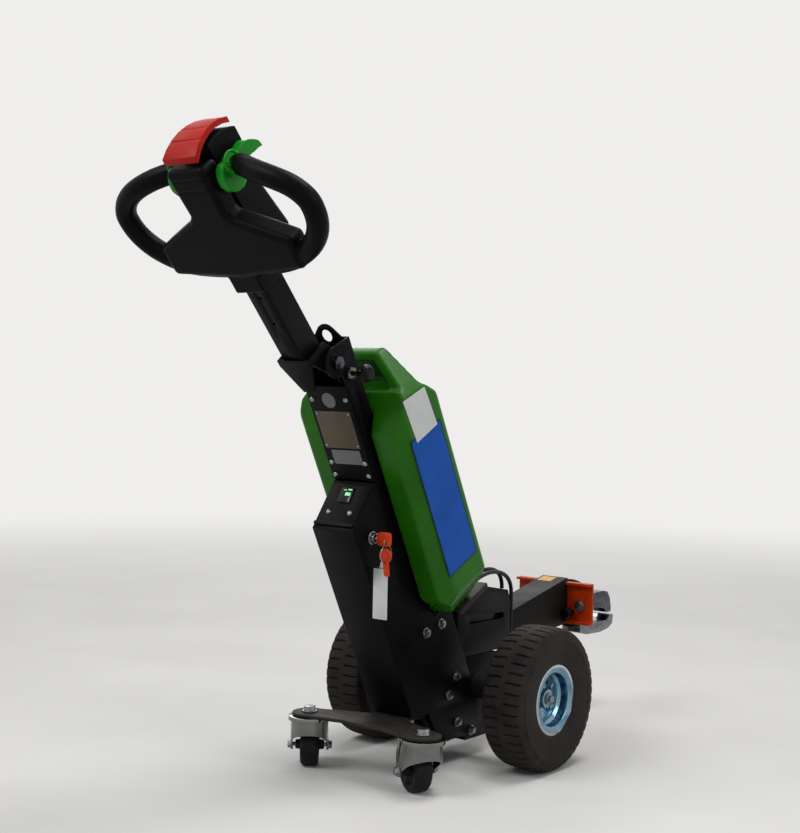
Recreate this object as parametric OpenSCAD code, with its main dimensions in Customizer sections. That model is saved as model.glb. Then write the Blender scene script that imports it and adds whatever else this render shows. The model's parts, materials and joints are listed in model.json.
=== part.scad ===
// Walk-behind electric tug: a two-wheeled battery tractor with a leaning column,
// a lift-off battery, a loop tiller and a hitch plate on a short tow arm.
// Floor at z = 0, drive axle over the origin, tow side +Y, operator side -Y,
// right side +X. Lengths in millimetres, angles in degrees.
// Column coordinates: n runs rearward from the column's front face, t up along it.

/* [Drive wheels] */
// Outside diameter of the pneumatic drive tyres
tyre_d = 260; // [250:1:270]
// Width of the drive tyres
tyre_w = 85; // [80:1:88]
// Distance between the middles of the two drive tyres
track_w = 360; // [355:1:390]
// Diameter of the rim's outer lip
rim_lip_d = 127; // [122:1:130]
// Diameter of the drive axle shafts
axle_d = 20; // [18:1:22]
// Number of grooves around each tread row
tread_count = 44; // [30:1:48]

/* [Column] */
// Lean of the column from the vertical, toward the operator
lean_a = 27; // [25:0.5:28]
// Width of the column over its side plates
col_w = 90; // [88:1:94]
// Depth of the narrow upper column, front face to rear edge
col_depth = 44; // [44:1:46]
// Thickness of the folded steel sheet
sheet_t = 3; // [2.5:0.5:3]
// Where the column's front plane meets the floor, behind the axle
foot_y = -52; // [-54:1:-50]
// Height along the column of the tiller pivot
pivot_t = 813; // [811:1:816]
// How far the lower box stands out in front of the column
box_depth = 84; // [80:1:86]
// Height along the column of the control panel's upper edge
panel_top_t = 587; // [580:1:590]
// Height along the column of the control panel's lower edge
panel_low_t = 542; // [538:1:546]
// Height of the underside of the chassis side plates over the floor
chassis_low_z = 45; // [40:1:50]

/* [Battery] */
// Width of the battery case
case_w = 230; // [224:1:232]
// Depth of the battery case, along n
case_depth = 142; // [138:1:144]
// Height along the column of the battery's bottom
case_low_t = 292; // [291.5:0.5:294]
// Height along the column of the battery's top
case_top_t = 784; // [778:1:790]

/* [Tiller] */
// Lean of the tiller, further than the column's
tiller_a = 14; // [12:1:15]
// Width and depth of the square tiller tube
tube_w = 45; // [43:1:46]
// Length from the pivot to the tiller head's upper end
tiller_len = 412; // [405:1:418]
// Half width of the handle loops over their grips
loop_half_w = 210; // [203:1:216]
// Thickness of the round grips
grip_d = 34; // [32:1:38]
// Throw of the throttle levers each way
lever_len = 66; // [60:1:70]

/* [Hitch] */
// Width of the orange hitch plate
plate_w = 176; // [165:1:190]
// Height of the orange hitch plate
plate_h = 84; // [80:1:88]
// Distance of the hitch plate ahead of the axle
plate_y = 344; // [335:1:355]
// Height of the hitch plate's upper edge over the floor
plate_top_z = 292; // [288:1:296]
// Width of the tow arm
arm_w = 60; // [54:1:62]

/* [Casters] */
// Diameter of the caster wheels
caster_d = 75; // [72:1:76]
// Width of the caster wheels
caster_w = 32; // [28:1:34]
// Distance from the middle plane to a caster's swivel axis
caster_x = 127; // [122:1:135]
// Distance of the swivel axes behind the drive axle
caster_y = 276; // [270:1:280]
// Underside of the caster plate over the floor
caster_plate_z = 97; // [97:0.5:99]
// Direction that the left caster trails in, seen from above
caster_left_yaw = 128; // [0:1:360]
// Direction that the right caster trails in, seen from above
caster_right_yaw = 152; // [0:1:360]

/* [Hidden] */
$fn = 48;

// Shared places and clearances
axle_z = tyre_d / 2;
seat_gap = 0.3;
run_gap = 0.05;
loose_gap = 1;
col_half = col_w / 2;
in_half = col_half - sheet_t;

// Column coordinates of a place in the world's side view, and the way back
function lean_n(y, z) = (y - foot_y) * cos(lean_a) + z * sin(lean_a);
function lean_t(y, z) = z * cos(lean_a) - (y - foot_y) * sin(lean_a);
function world_y(n, t) = foot_y + n * cos(lean_a) - t * sin(lean_a);
function world_z(n, t) = n * sin(lean_a) + t * cos(lean_a);
function at_z(n, z) = [n, (z - n * sin(lean_a)) / cos(lean_a)];

module in_column() translate([0, foot_y, 0]) rotate([lean_a, 0, 0]) children();

pivot_n = -3;
module in_tiller()
    in_column() translate([0, pivot_n, pivot_t]) rotate([tiller_a, 0, 0]) children();

// A side-view outline, x running rearward and y up, given thickness along X
module side_slab(x0, w)
    translate([x0, 0, 0]) rotate([90, 0, 90]) linear_extrude(w) children();

// A front-view outline, x across and y up, given thickness along Y
module front_slab(y0, d)
    translate([0, y0 + d, 0]) rotate([90, 0, 0]) linear_extrude(d) children();

module x_rod(r, x0, w) translate([x0, 0, 0]) rotate([0, 90, 0]) cylinder(h = w, r = r);
module y_rod(r, y0, w) translate([0, y0, 0]) rotate([-90, 0, 0]) cylinder(h = w, r = r);
module both_sides() { children(); mirror([1, 0, 0]) children(); }

// Hexagon head on a washer, standing up from z = 0, sized by its thread
head_h_share = 0.65;
head_w_share = 0.9;
washer_w_share = 1.15;
washer_h_share = 0.18;
module hex_head(d) {
    cylinder(h = d * washer_h_share, r = d * washer_w_share);
    cylinder(h = d * (washer_h_share + head_h_share), r = d * head_w_share, $fn = 6);
}

// Corner of an outline rounded to radius r: the points of its arc
corner_steps = 6;
function arc_pts(c, r, a0, a1) =
    [for (i = [0:corner_steps]) c + r * [cos(a0 + (a1 - a0) * i / corner_steps),
                                         sin(a0 + (a1 - a0) * i / corner_steps)]];

// Column and chassis.

lobe_r = 26;
col_top_t = pivot_t + lobe_r;
tray_t = case_low_t - seat_gap;
tray_h = 4;
plates_top_t = tray_t - tray_h;
foot_n = 96;
caster_plate_h = 6;
box_low_z = caster_plate_z + caster_plate_h + seat_gap;
box_low_back_y = -150;
foot_front_y = -115;
foot_back_y = 6;
foot_back_z = 74;
pivot_bush_d = 20;
index_n = 20;
index_t = 783;
sleeve_d = 14;
panel_a = atan2(panel_top_t - panel_low_t, box_depth);
sheet_drop = sheet_t / cos(panel_a);
slope = (panel_top_t - panel_low_t) / box_depth;
front_top_t = 768;

function box_corner(n) = at_z(n, box_low_z);

module side_outline() {
    n0 = sheet_t + seat_gap;
    n1 = -box_depth + sheet_t + seat_gap;
    drop = sheet_drop + seat_gap;
    polygon([
        [col_depth, col_top_t],
        [pivot_n, col_top_t],
        [pivot_n, pivot_t - lobe_r + loose_gap],
        [n0, pivot_t - lobe_r + loose_gap],
        [n0, panel_top_t + slope * n0 - drop],
        [n1, panel_top_t + slope * n1 - drop],
        box_corner(n1),
        [lean_n(box_low_back_y, box_low_z), lean_t(box_low_back_y, box_low_z)],
        [lean_n(foot_front_y, chassis_low_z), lean_t(foot_front_y, chassis_low_z)],
        [lean_n(foot_back_y, chassis_low_z), lean_t(foot_back_y, chassis_low_z)],
        at_z(foot_n, foot_back_z), [foot_n, plates_top_t],
        [col_depth, plates_top_t]]);
    translate([pivot_n, pivot_t]) circle(r = lobe_r);
}

ear_r = 21;
ear_hole_d = 22;
ear_t = 841;
ear_base_x = 30;
ear_side_a = 45;

module column_frame() color("#1b1c1e") in_column() {
    for (side = [-1, 1]) difference() {
        side_slab(side > 0 ? in_half : -col_half, sheet_t) side_outline();
        translate([0, pivot_n, pivot_t])
            x_rod(pivot_bush_d / 2, -col_w, col_w * 2);
        if (side > 0) translate([0, index_n, index_t]) x_rod(sleeve_d / 2, 0, col_w);
        // Notch round the axle tube
        in_column_undo() on_axle() x_rod(axle_tube_r + seat_gap, -col_w, col_w * 2);
    }
    // Rear web with the lifting eye
    difference() {
        front_slab(col_depth - sheet_t, sheet_t) {
            polygon([[-in_half, plates_top_t], [in_half, plates_top_t],
                [in_half, col_top_t], [ear_base_x, col_top_t],
                [ear_r * cos(ear_side_a), ear_t + ear_r * sin(ear_side_a)],
                [-ear_r * cos(ear_side_a), ear_t + ear_r * sin(ear_side_a)],
                [-ear_base_x, col_top_t], [-in_half, col_top_t]]);
            translate([0, ear_t]) circle(r = ear_r);
        }
        translate([0, 0, ear_t]) y_rod(ear_hole_d / 2, 0, col_depth * 2);
    }
    // Cross web that carries the tray, and the floor of the lower box
    translate([-in_half, col_depth - sheet_t, plates_top_t - sheet_t])
        cube([in_half * 2, foot_n - col_depth + sheet_t, sheet_t]);
    in_column_undo() translate([-in_half, box_floor_y0, box_low_z + loose_gap])
        cube([in_half * 2, box_low_back_y - loose_gap - box_floor_y0, sheet_t]);
}
box_floor_n = -box_depth + sheet_t * 2;
box_floor_y0 = world_y(box_floor_n, at_z(box_floor_n, box_low_z)[1]);
module in_column_undo() rotate([-lean_a, 0, 0]) translate([0, -foot_y, 0]) children();

// Upper front plate, screwed over the edges of the side plates
module front_plate() color("#1b1c1e") in_column()
    front_slab(0, sheet_t)
        polygon([[-col_half, panel_top_t + sheet_t], [col_half, panel_top_t + sheet_t],
            [col_half, front_top_t], [-col_half, front_top_t]]);

// Folded sheet: the sloped panel seat and the long front of the lower box
module lower_cover() color("#1b1c1e") in_column()
    side_slab(-col_half, col_w) polygon([
        [0, panel_top_t], [-box_depth, panel_low_t], box_corner(-box_depth),
        box_corner(-box_depth + sheet_t), [-box_depth + sheet_t,
            panel_top_t + slope * (-box_depth + sheet_t) - sheet_drop],
        [sheet_t, panel_top_t + slope * sheet_t - sheet_drop], [sheet_t, panel_top_t]]);

type_plate_w = 76;
type_plate_low_t = 652;
type_plate_top_t = 722;
type_plate_h = 1;
module type_plate() color("#8d8578") in_column()
    front_slab(-type_plate_h, type_plate_h)
        translate([-type_plate_w / 2, type_plate_low_t])
            square([type_plate_w, type_plate_top_t - type_plate_low_t]);

// The control panel lies on the slope: y runs up the slope, z stands out of it
module on_panel() in_column() translate([0, 0, panel_top_t]) rotate([panel_a, 0, 0])
    children();
slope_len = box_depth / cos(panel_a);
panel_w = 84;
panel_h = 3;
panel_lip = 6;
gauge_w = 24;
gauge_l = 27;
gauge_s = 29;
gauge_h = 5;
gauge_deep = 9;
module control_panel() color("#141516") on_panel() difference() {
    union() {
        translate([-panel_w / 2, panel_lip - slope_len, 0])
            cube([panel_w, slope_len - panel_lip * 2, panel_h]);
        translate([-panel_w / 2, panel_lip - slope_len, 0])
            cube([panel_w, panel_lip, panel_h * 2]);
    }
    translate([-gauge_w / 2, -gauge_s - gauge_l / 2, -panel_h])
        cube([gauge_w, gauge_l, panel_h * 3]);
}
module battery_gauge() color("#0e0f10") on_panel() {
    lip = panel_h / 2;
    translate([-gauge_w / 2 + seat_gap, -gauge_s - gauge_l / 2 + seat_gap, seat_gap])
        cube([gauge_w - seat_gap * 2, gauge_l - seat_gap * 2, panel_h]);
    translate([-gauge_w / 2 - lip, -gauge_s - gauge_l / 2 - lip, panel_h + seat_gap])
        cube([gauge_w + panel_h, gauge_l + panel_h, gauge_h - panel_h]);
}

// Round-headed screws of the front plate and the panel, one group of like solids
screw_x = 36.5;
screw_d = 5;
screw_ts = [743, 623, 599];
panel_screw_x = 23;
panel_screw_s = 63;
module front_screws() color("#9a9da1") {
    in_column() for (t = screw_ts, side = [-1, 1])
        translate([side * screw_x, -seat_gap, t]) rotate([90, 0, 0])
            cylinder(h = screw_d / 2, r1 = screw_d, r2 = screw_d / 2);
    on_panel() for (side = [-1, 1])
        translate([side * panel_screw_x, -panel_screw_s, panel_h + seat_gap])
            cylinder(h = screw_d / 2, r1 = screw_d, r2 = screw_d / 2);
}

// Hexagon bolts of both side plates
side_bolt_d = 8;
side_bolt_places = [[-165, 251], [-120, 262], [-70, 159], [-91, 129], [-63, 75],
    [-18, 52]];
module side_bolts() color("#aeb2b6") both_sides() for (p = side_bolt_places)
    translate([col_half + seat_gap, p[0], p[1]]) rotate([0, 90, 0]) hex_head(side_bolt_d);

// Key switch on the right side face.

key_n = -46;
key_t = 507;
key_barrel_d = 19;
key_bezel_d = 24;
key_bezel_h = 3;
key_barrel_h = 10;
key_slot_h = 2.2;
key_blade_w = 8;
key_blade_len = 14;
key_head_w = 26;
key_x = col_half + key_barrel_h;
module at_key() in_column() translate([0, key_n, key_t]) rotate([-lean_a, 0, 0])
    children();
module key_switch() color("#a9adb1") at_key() difference() {
    union() {
        x_rod(key_barrel_d / 2 - seat_gap, col_half + seat_gap, key_barrel_h - seat_gap);
        x_rod(key_bezel_d / 2, col_half + seat_gap, key_bezel_h);
    }
    x_rod(key_blade_w / 2 + seat_gap, key_x - key_blade_len / 2, key_blade_len);
}
// The key stands out of the lock; its head is a flat rounded grip with a hole
key_hole_d = 5;
key_out = key_x + seat_gap;
key_hole_share = 0.8;
module ignition_key() color("#d8391f") at_key() {
    x_rod(key_blade_w / 2 - seat_gap, key_out - key_blade_len / 2, key_blade_len);
    difference() {
        translate([key_out + key_head_w / 2, 0, 0]) rotate([90, 0, 0])
            translate([0, 0, -key_slot_h]) cylinder(h = key_slot_h * 2, r = key_head_w / 2);
        // The hole is flared to both faces
        for (flipped = [-90, 90]) translate([fob_x, 0, 0]) rotate([flipped, 0, 0])
            cylinder(h = key_slot_h + seat_gap, r1 = key_hole_d / 2,
                r2 = key_hole_d / 2 + ring_wire);
    }
}
// Split ring with the spare key and a blank tag, hanging from the key's hole
ring_r = 12;
ring_wire = 1.6;
fob_x = key_out + key_head_w * key_hole_share;
spare_drop_share = 0.4;
spare_w = 22;
spare_len = 44;
tag_w = 28;
tag_len = 70;
tag_h = 2;
ring_drop = key_hole_d / 2 - ring_wire / 2 - seat_gap;
module key_fob() color("#e6e4df") at_key() translate([fob_x, 0, -ring_r - ring_drop]) {
    rotate([0, 90, 0]) rotate_extrude() translate([ring_r, 0]) circle(r = ring_wire / 2);
    translate([-ring_wire, 0, -ring_r - spare_w * spare_drop_share]) {
        rotate([90, 0, 0]) translate([0, 0, -tag_h / 2])
            cylinder(h = tag_h, r = spare_w / 2);
        translate([-tag_h, -tag_h / 2, -spare_len]) cube([tag_h * 2, tag_h, spare_len]);
    }
    translate([-ring_wire - tag_w / 2, tag_h, -ring_r - tag_len])
        cube([tag_w, tag_h, tag_len + ring_wire]);
}

// Battery tray, socket, case and cables.

tray_half = 90;
tray_front_n = 67;
tray_back_n = 161;
tray_rim = 10;
module battery_tray() color("#232427") in_column() {
    linear_h = tray_h - seat_gap;
    translate([0, 0, tray_t - linear_h]) linear_extrude(linear_h) polygon([
        [-in_half, col_depth + seat_gap], [in_half, col_depth + seat_gap],
        [in_half, tray_front_n], [tray_half, tray_front_n], [tray_half, tray_back_n],
        [-tray_half, tray_back_n], [-tray_half, tray_front_n], [-in_half, tray_front_n]]);
    for (side = [-1, 1]) translate([side * (tray_half - tray_h / 2) - tray_h / 2,
        tray_front_n, tray_t - tray_rim]) cube([tray_h, tray_back_n - tray_front_n,
        tray_rim]);
}
socket_w = 40;
socket_d = 34;
socket_h = 14;
socket_x = 42;
socket_n = tray_back_n + tray_rim - socket_d;
module battery_socket() color("#2b2c2e") in_column()
    translate([socket_x - socket_w / 2, socket_n, tray_t - tray_h - socket_h])
        cube([socket_w, socket_d, socket_h - seat_gap]);

case_half = case_w / 2;
case_front_n = 18;
case_back_n = case_front_n + case_depth;
case_bevel = 22;
case_base_half = 78;
case_belly_t = 342;
case_ledge_t = case_top_t - 55;
case_knee_t = case_ledge_t - 59;
case_ledge_n = 62;
case_shoulder_t = case_top_t - 70;
grip_half = 45;
grip_front_n = 99;
grip_back_n = 124;
grip_foot_n = 114;
grip_foot_t = case_top_t - 62;
case_hip_t = case_top_t - 112;
base_front_n = 56;
base_back_n = 120;
groove_half = 50;
groove_gap = 2;
recess_deep_n = 110;
recess_inset = 14;
recess_top_t = case_top_t - recess_inset;
module battery_case() color("#3a9a2e") in_column() difference() {
    intersection() {
        side_slab(-case_half, case_w) polygon([
            [base_front_n, case_low_t], [case_front_n, case_belly_t],
            [case_front_n, case_knee_t], [case_ledge_n, case_ledge_t],
            [case_ledge_n + recess_inset / 2, case_ledge_t],
            [grip_front_n, case_top_t], [grip_back_n, case_top_t],
            [grip_foot_n, grip_foot_t], [case_back_n, case_hip_t],
            [case_back_n, case_belly_t + case_bevel / 2], [base_back_n, case_low_t]]);
        front_slab(0, case_back_n) polygon([
            [-case_base_half, case_low_t], [case_base_half, case_low_t],
            [case_half, case_belly_t], [case_half, case_shoulder_t],
            [grip_half, case_top_t], [-grip_half, case_top_t],
            [-case_half, case_shoulder_t], [-case_half, case_belly_t]]);
        translate([0, 0, case_low_t]) linear_extrude(case_top_t - case_low_t) polygon([
            [groove_half, case_front_n], [case_half - case_bevel, case_front_n],
            [case_half, case_front_n + case_bevel],
            [case_half, case_back_n - case_bevel], [case_half - case_bevel, case_back_n],
            [case_bevel - case_half, case_back_n],
            [-case_half, case_back_n - case_bevel], [-case_half, case_front_n + case_bevel],
            [case_bevel - case_half, case_front_n], [-groove_half, case_front_n],
            [-groove_half, col_depth + groove_gap], [groove_half, col_depth + groove_gap]]);
    }
    // Hand recess under the carrying bar
    front_slab(0, recess_deep_n) polygon([
        [case_half + case_shoulder_t - case_ledge_t - recess_inset - recess_inset / 2,
            case_ledge_t],
        [grip_half - recess_inset / 2, recess_top_t],
        [recess_inset / 2 - grip_half, recess_top_t],
        [recess_inset + recess_inset / 2 + case_ledge_t - case_shoulder_t - case_half,
            case_ledge_t]]);
}

// Two cables from the socket to the drive cover, each a bent round tube
cable_d = 8;
cable_sides = 10;
cable_steps = 24;
function bez(p, u) = p[0] * pow(1 - u, 3) + p[1] * 3 * u * pow(1 - u, 2)
    + p[2] * 3 * u * u * (1 - u) + p[3] * u * u * u;
function unit(v) = v / norm(v);
module bent_tube(path, r, sides, across) {
    n = len(path);
    tang = [for (i = [0:n - 1]) unit(path[min(i + 1, n - 1)] - path[max(i - 1, 0)])];
    pts = [for (i = [0:n - 1]) let (s = unit(cross(tang[i], across)), w = cross(tang[i], s))
        for (k = [0:sides - 1]) path[i] + r * (s * cos(360 * k / sides)
            + w * sin(360 * k / sides))];
    faces = concat(
        [[for (k = [0:sides - 1]) k]],
        [[for (k = [sides - 1:-1:0]) (n - 1) * sides + k]],
        [for (i = [0:n - 2], k = [0:sides - 1]) [i * sides + k, (i + 1) * sides + k,
            (i + 1) * sides + (k + 1) % sides, i * sides + (k + 1) % sides]]);
    polyhedron(pts, faces, convexity = 6);
}

cable_x = [34, 50];
cable_t = tray_t - tray_h - socket_h / 2;
cable_rise = 52;
cable_end = [27, 103];
drop_end = [37, 121, 292];
drop_low_z = 204;
function cable_start(i) = [cable_x[i], world_y(tray_back_n + tray_rim + seat_gap, cable_t),
    world_z(tray_back_n + tray_rim + seat_gap, cable_t)];
function cable_lead(i) = cable_start(i) + cable_rise * [0, cos(lean_a), sin(lean_a)];
module battery_cable() color("#17181a") {
    end = [cable_end[0], cable_end[1], cover_top_z(cable_end[1] - cable_d / 2) + seat_gap];
    bent_tube(concat([for (i = [0:cable_steps]) bez([cable_start(0), cable_lead(0),
        end + [0, 0, cable_rise], end + [0, 0, cable_d / 4]], i / cable_steps)], [end]),
        cable_d / 2, cable_sides, [1, 0, 0]);
}
module motor_cable() color("#17181a") {
    low = [drop_end[0], cover_back_y + seat_gap, drop_low_z];
    half = cable_steps / 2;
    bent_tube(concat(
        [for (i = [0:cable_steps - 1]) bez([cable_start(1), cable_lead(1),
            drop_end + [0, 0, cable_rise], drop_end], i / cable_steps)],
        [for (i = [0:half]) bez([drop_end, drop_end - [0, 0, cable_rise],
            low + [0, drop_end[1] - cover_back_y, 0], low + [0, cable_d / 4, 0]], i / half)],
        [low]),
        cable_d / 2, cable_sides, [1, 0, 0]);
}

// Drive unit behind and inside the lower box.

cover_back_y = 112;
cover_front_y = -62;
cover_front_z = 292;
cover_peak_y = 0;
cover_peak_z = 320;
cover_mid_y = -22;
cover_mid_z = 308;
cover_end_z = 299;
cover_low_z = 190;
cover_waist_z = 276;
cover_top_half = 30;
cover_t = 2;
cover_half = in_half - seat_gap;
slot_r = 6;
slot_y = [-20, 84];
slot_z = 254;
function cover_top_z(y) = cover_peak_z
    - (cover_peak_z - cover_end_z) * (y - cover_peak_y) / (cover_back_y - cover_peak_y);
module cover_solid(in) intersection() {
    side_slab(-cover_half, cover_half * 2) polygon([
        [cover_front_y + in, cover_low_z - in], [cover_back_y - in, cover_low_z - in],
        [cover_back_y - in, cover_end_z - in], [cover_peak_y, cover_peak_z - in],
        [cover_mid_y + in / 2, cover_mid_z - in], [cover_front_y + in, cover_front_z - in]]);
    translate([0, cover_back_y * 2, 0]) rotate([90, 0, 0])
        linear_extrude(cover_back_y * 4) polygon([
            [in - cover_half, cover_low_z - in], [cover_half - in, cover_low_z - in],
            [cover_half - in, cover_waist_z], [cover_top_half - in, cover_peak_z + in],
            [in - cover_top_half, cover_peak_z + in], [in - cover_half, cover_waist_z]]);
}
module drive_cover() color("#1d1e20") difference() {
    cover_solid(0);
    cover_solid(cover_t);
    // Long slots in the sides, and the tow arm's way out of the back
    for (y = slot_y) translate([0, y, slot_z]) x_rod(slot_r, -col_w, col_w * 2);
    translate([-col_w, slot_y[0], slot_z - slot_r])
        cube([col_w * 2, slot_y[1] - slot_y[0], slot_r * 2]);
    translate([-arm_w / 2 - seat_gap, 0, root_low_z - seat_gap])
        cube([arm_w + seat_gap * 2, cover_back_y * 2, root_h + seat_gap * 2]);
}

root_low_z = 188;
root_h = 26;
root_front_y = -42;
arm_top_z = 250;
arm_end_top_z = 300;
arm_end_low_z = 206;
arm_heel = 8;
module tow_arm() color("#1b1c1e") {
    end_y = plate_y - seat_gap;
    start_y = cover_back_y + seat_gap;
    difference() {
        side_slab(-arm_w / 2, arm_w) polygon([
            [root_front_y, root_low_z], [start_y, root_low_z],
            [start_y + arm_heel, root_low_z], [end_y, arm_end_low_z],
            [end_y, arm_end_top_z], [start_y, arm_top_z],
            [start_y, root_low_z + root_h], [root_front_y, root_low_z + root_h]]);
        translate([0, 0, boss_z]) y_rod(spindle_r + run_gap, end_y - spindle_len - loose_gap,
            spindle_len * 2);
    }
}

controller_half = 30;
controller_y = -38;
controller_l = 128;
controller_h = 44;
module controller() color("#8f9296")
    translate([-controller_half, controller_y, root_low_z + root_h + seat_gap])
        cube([controller_half * 2, controller_l, controller_h]);

gear_half = in_half - seat_gap;
gear_front_y = -46;
gear_back_y = 66;
gear_heel_y = 36;
gear_heel_z = 92;
gear_low_z = 34;
gear_cut = 16;
axle_tube_r = 21;
axle_tube_x = 128;
module gearbox() color("#1f2022") difference() {
    union() {
        on_axle() x_rod(axle_tube_r, -axle_tube_x, axle_tube_x * 2);
        side_slab(-gear_half, gear_half * 2) polygon([
            [gear_front_y, gear_low_z + gear_cut], [gear_front_y + gear_cut, gear_low_z],
            [gear_heel_y, gear_low_z], [gear_back_y, gear_heel_z],
            [gear_back_y, root_low_z - seat_gap],
            [gear_front_y, root_low_z - seat_gap]]);
    }
    for (side = [-1, 1]) translate([0, 0, axle_z]) x_rod(axle_d / 2 + run_gap,
        side > 0 ? shaft_in_x - loose_gap : -axle_tube_x - loose_gap,
        axle_tube_x - shaft_in_x + loose_gap * 2);
}

motor_r = 36;
motor_len = 88;
motor_z = 64;
brake_r = 22;
brake_len = 20;
motor_y = gear_front_y - seat_gap;
module drive_motor() color("#1f2022") translate([0, 0, motor_z])
    y_rod(motor_r, motor_y - motor_len, motor_len);
module motor_brake() color("#2a2b2d") translate([0, 0, motor_z])
    y_rod(brake_r, motor_y - motor_len - seat_gap - brake_len, brake_len);

// Drive wheels: the shapes are drawn for a wheel centred on the X axis.

shaft_in_x = 50;
hub_r = 17;
hub_out = 20;
hub_in = -26;
shaft_out = 22;
flange_r = 36;
flange_h = 5;
disc_in = 8;
disc_t = 3;
stud_pcd_r = 27;
stud_d = 7;
stud_count = 4;
axle_nut_share = 0.4;
rim_half = 35.75;
rim_lip_r = rim_lip_d / 2;
rim_wall = 3;
seat_r = 51;
well_r = 44;
well_step = 21;
well_foot = 25.5;
rim_draft = 1;
module on_axle() translate([0, 0, axle_z]) children();
module at_wheel(side) on_axle() mirror([side < 0 ? 1 : 0, 0, 0])
    translate([track_w / 2, 0, 0]) children();
module spun() rotate([0, 90, 0]) rotate_extrude($fn = 96) children();

module wheel_shaft(side) color("#c3c6c8") at_wheel(side) {
    x_rod(axle_d / 2, shaft_in_x - track_w / 2, track_w / 2 - shaft_in_x + shaft_out);
    translate([shaft_out + seat_gap, 0, 0]) rotate([0, 90, 0]) hex_head(axle_d * axle_nut_share);
}
module wheel_hub(side) color("#b9c2c9") at_wheel(side) difference() {
    union() {
        x_rod(hub_r, hub_in, hub_out - hub_in);
        x_rod(flange_r, disc_in - seat_gap - flange_h, flange_h);
        for (i = [1:stud_count]) rotate([360 * (i + 1 / 2) / stud_count, 0, 0])
            translate([0, stud_pcd_r, 0]) {
                x_rod(stud_d / 2 - seat_gap, 0, disc_in + disc_t + seat_gap * 2);
                translate([disc_in + disc_t + seat_gap, 0, 0]) rotate([0, 90, 0])
                    hex_head(stud_d);
            }
    }
    x_rod(axle_d / 2 + run_gap, hub_in - loose_gap, hub_out - hub_in + loose_gap * 2);
}
module wheel_rim(side) color("#b7c6d2") at_wheel(side) difference() {
    spun() polygon([
        [rim_lip_r, -rim_half], [rim_lip_r, -rim_half + rim_wall],
        [seat_r + rim_wall, -rim_half + rim_wall], [seat_r, -rim_half + rim_wall * 2],
        [seat_r - rim_draft, -rim_half + well_step], [well_r, -rim_half + well_foot],
        [well_r, rim_half - well_foot], [seat_r - rim_draft, rim_half - well_step],
        [seat_r, rim_half - rim_wall * 2], [seat_r + rim_wall, rim_half - rim_wall],
        [rim_lip_r, rim_half - rim_wall], [rim_lip_r, rim_half],
        [seat_r + rim_wall, rim_half], [seat_r - rim_wall, rim_half - rim_wall],
        [seat_r - rim_wall - rim_draft, rim_half - well_step + rim_wall],
        [well_r - rim_wall, rim_half - well_foot + rim_wall],
        [well_r - rim_wall, disc_in + disc_t], [hub_r + seat_gap, disc_in + disc_t],
        [hub_r + seat_gap, disc_in], [well_r - rim_wall, disc_in],
        [well_r - rim_wall, -rim_half + well_foot - rim_wall],
        [seat_r - rim_wall - rim_draft, -rim_half + well_step - rim_wall],
        [seat_r - rim_wall, -rim_half + rim_wall], [seat_r + rim_wall, -rim_half]]);
    for (i = [1:stud_count]) rotate([360 * (i + 1 / 2) / stud_count, 0, 0])
        translate([0, stud_pcd_r, 0]) x_rod(stud_d / 2, 0, disc_in + disc_t * 2);
}

groove_w = 2.6;
groove_deep = 3;
row_starts = [-0.9, 0.16];
row_len_share = 0.74;
side_wall = 8;
bead_x = 29;
bead_step = 4;
// Side wall and tread: shares of the way out from the rim's lip, shares of half the
// width, and the shares of the wall's thickness taken off each for the air space
wall_shares = [[0.05, 0.8, 0, 1], [0.17, 0.85, 0, 1], [0.34, 0.94, 0, 1], [0.52, 1, 0, 1],
    [0.7, 1, 0.2, 1], [0.835, 0.94, 0.7, 1], [0.94, 0.776, 1, 0.8], [0.99, 0.47, 1, 0.3],
    [1, 0, 1, 0]];
function tyre_half(wall) = concat([
    [seat_r + seat_gap, bead_x - wall / 2],
    [seat_r + bead_step, rim_half - rim_wall - seat_gap - wall],
    [rim_lip_r + seat_gap, rim_half - rim_wall - seat_gap - wall]],
    [for (s = wall_shares) [rim_lip_r + s[0] * (tyre_d / 2 - rim_lip_r) - s[2] * wall,
        s[1] * tyre_w / 2 - s[3] * wall]]);
function flip(pts) = [for (i = [len(pts) - 1:-1:0]) [pts[i][0], -pts[i][1]]];
module wheel_tyre(side) color("#2e2e2f") at_wheel(side) difference() {
    spun() {
        outer = tyre_half(0);
        inner = tyre_half(side_wall);
        polygon(concat(outer, flip([for (i = [0:len(outer) - 2]) outer[i]]),
            [for (i = [0:len(inner) - 1]) [inner[i][0], -inner[i][1]]],
            [for (i = [len(inner) - 2:-1:0]) inner[i]]));
    }
    for (i = [1:tread_count], row = [0, 1])
        rotate([360 * (i + row / 2) / tread_count, 0, 0])
            translate([row_starts[row] * tyre_w / 2, -groove_w / 2, tyre_d / 2 - groove_deep])
                cube([row_len_share * tyre_w / 2, groove_w, groove_deep * 2]);
}
module wheel_left_shaft() wheel_shaft(-1);
module wheel_left_hub() wheel_hub(-1);
module wheel_left_rim() wheel_rim(-1);
module wheel_left_tyre() wheel_tyre(-1);
module wheel_right_shaft() wheel_shaft(1);
module wheel_right_hub() wheel_hub(1);
module wheel_right_rim() wheel_rim(1);
module wheel_right_tyre() wheel_tyre(1);

// Hitch.

hitch_t = 6;
lip_len = 12;
lip_t = 5;
hitch_bolt_x = 60;
hitch_bolt_z = 245;
hitch_bolt_d = 10;
knob_x = 42;
knob_z = 231;
knob_r = 10.5;
knob_stem_r = 4;
flange_y = 400;
flange_h2 = 12;
swivel_r = 50;
boss_r = 30;
boss_z = 238;
spindle_r = 12;
spindle_len = 60;
hook_y = flange_y + flange_h2 + seat_gap;
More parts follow.
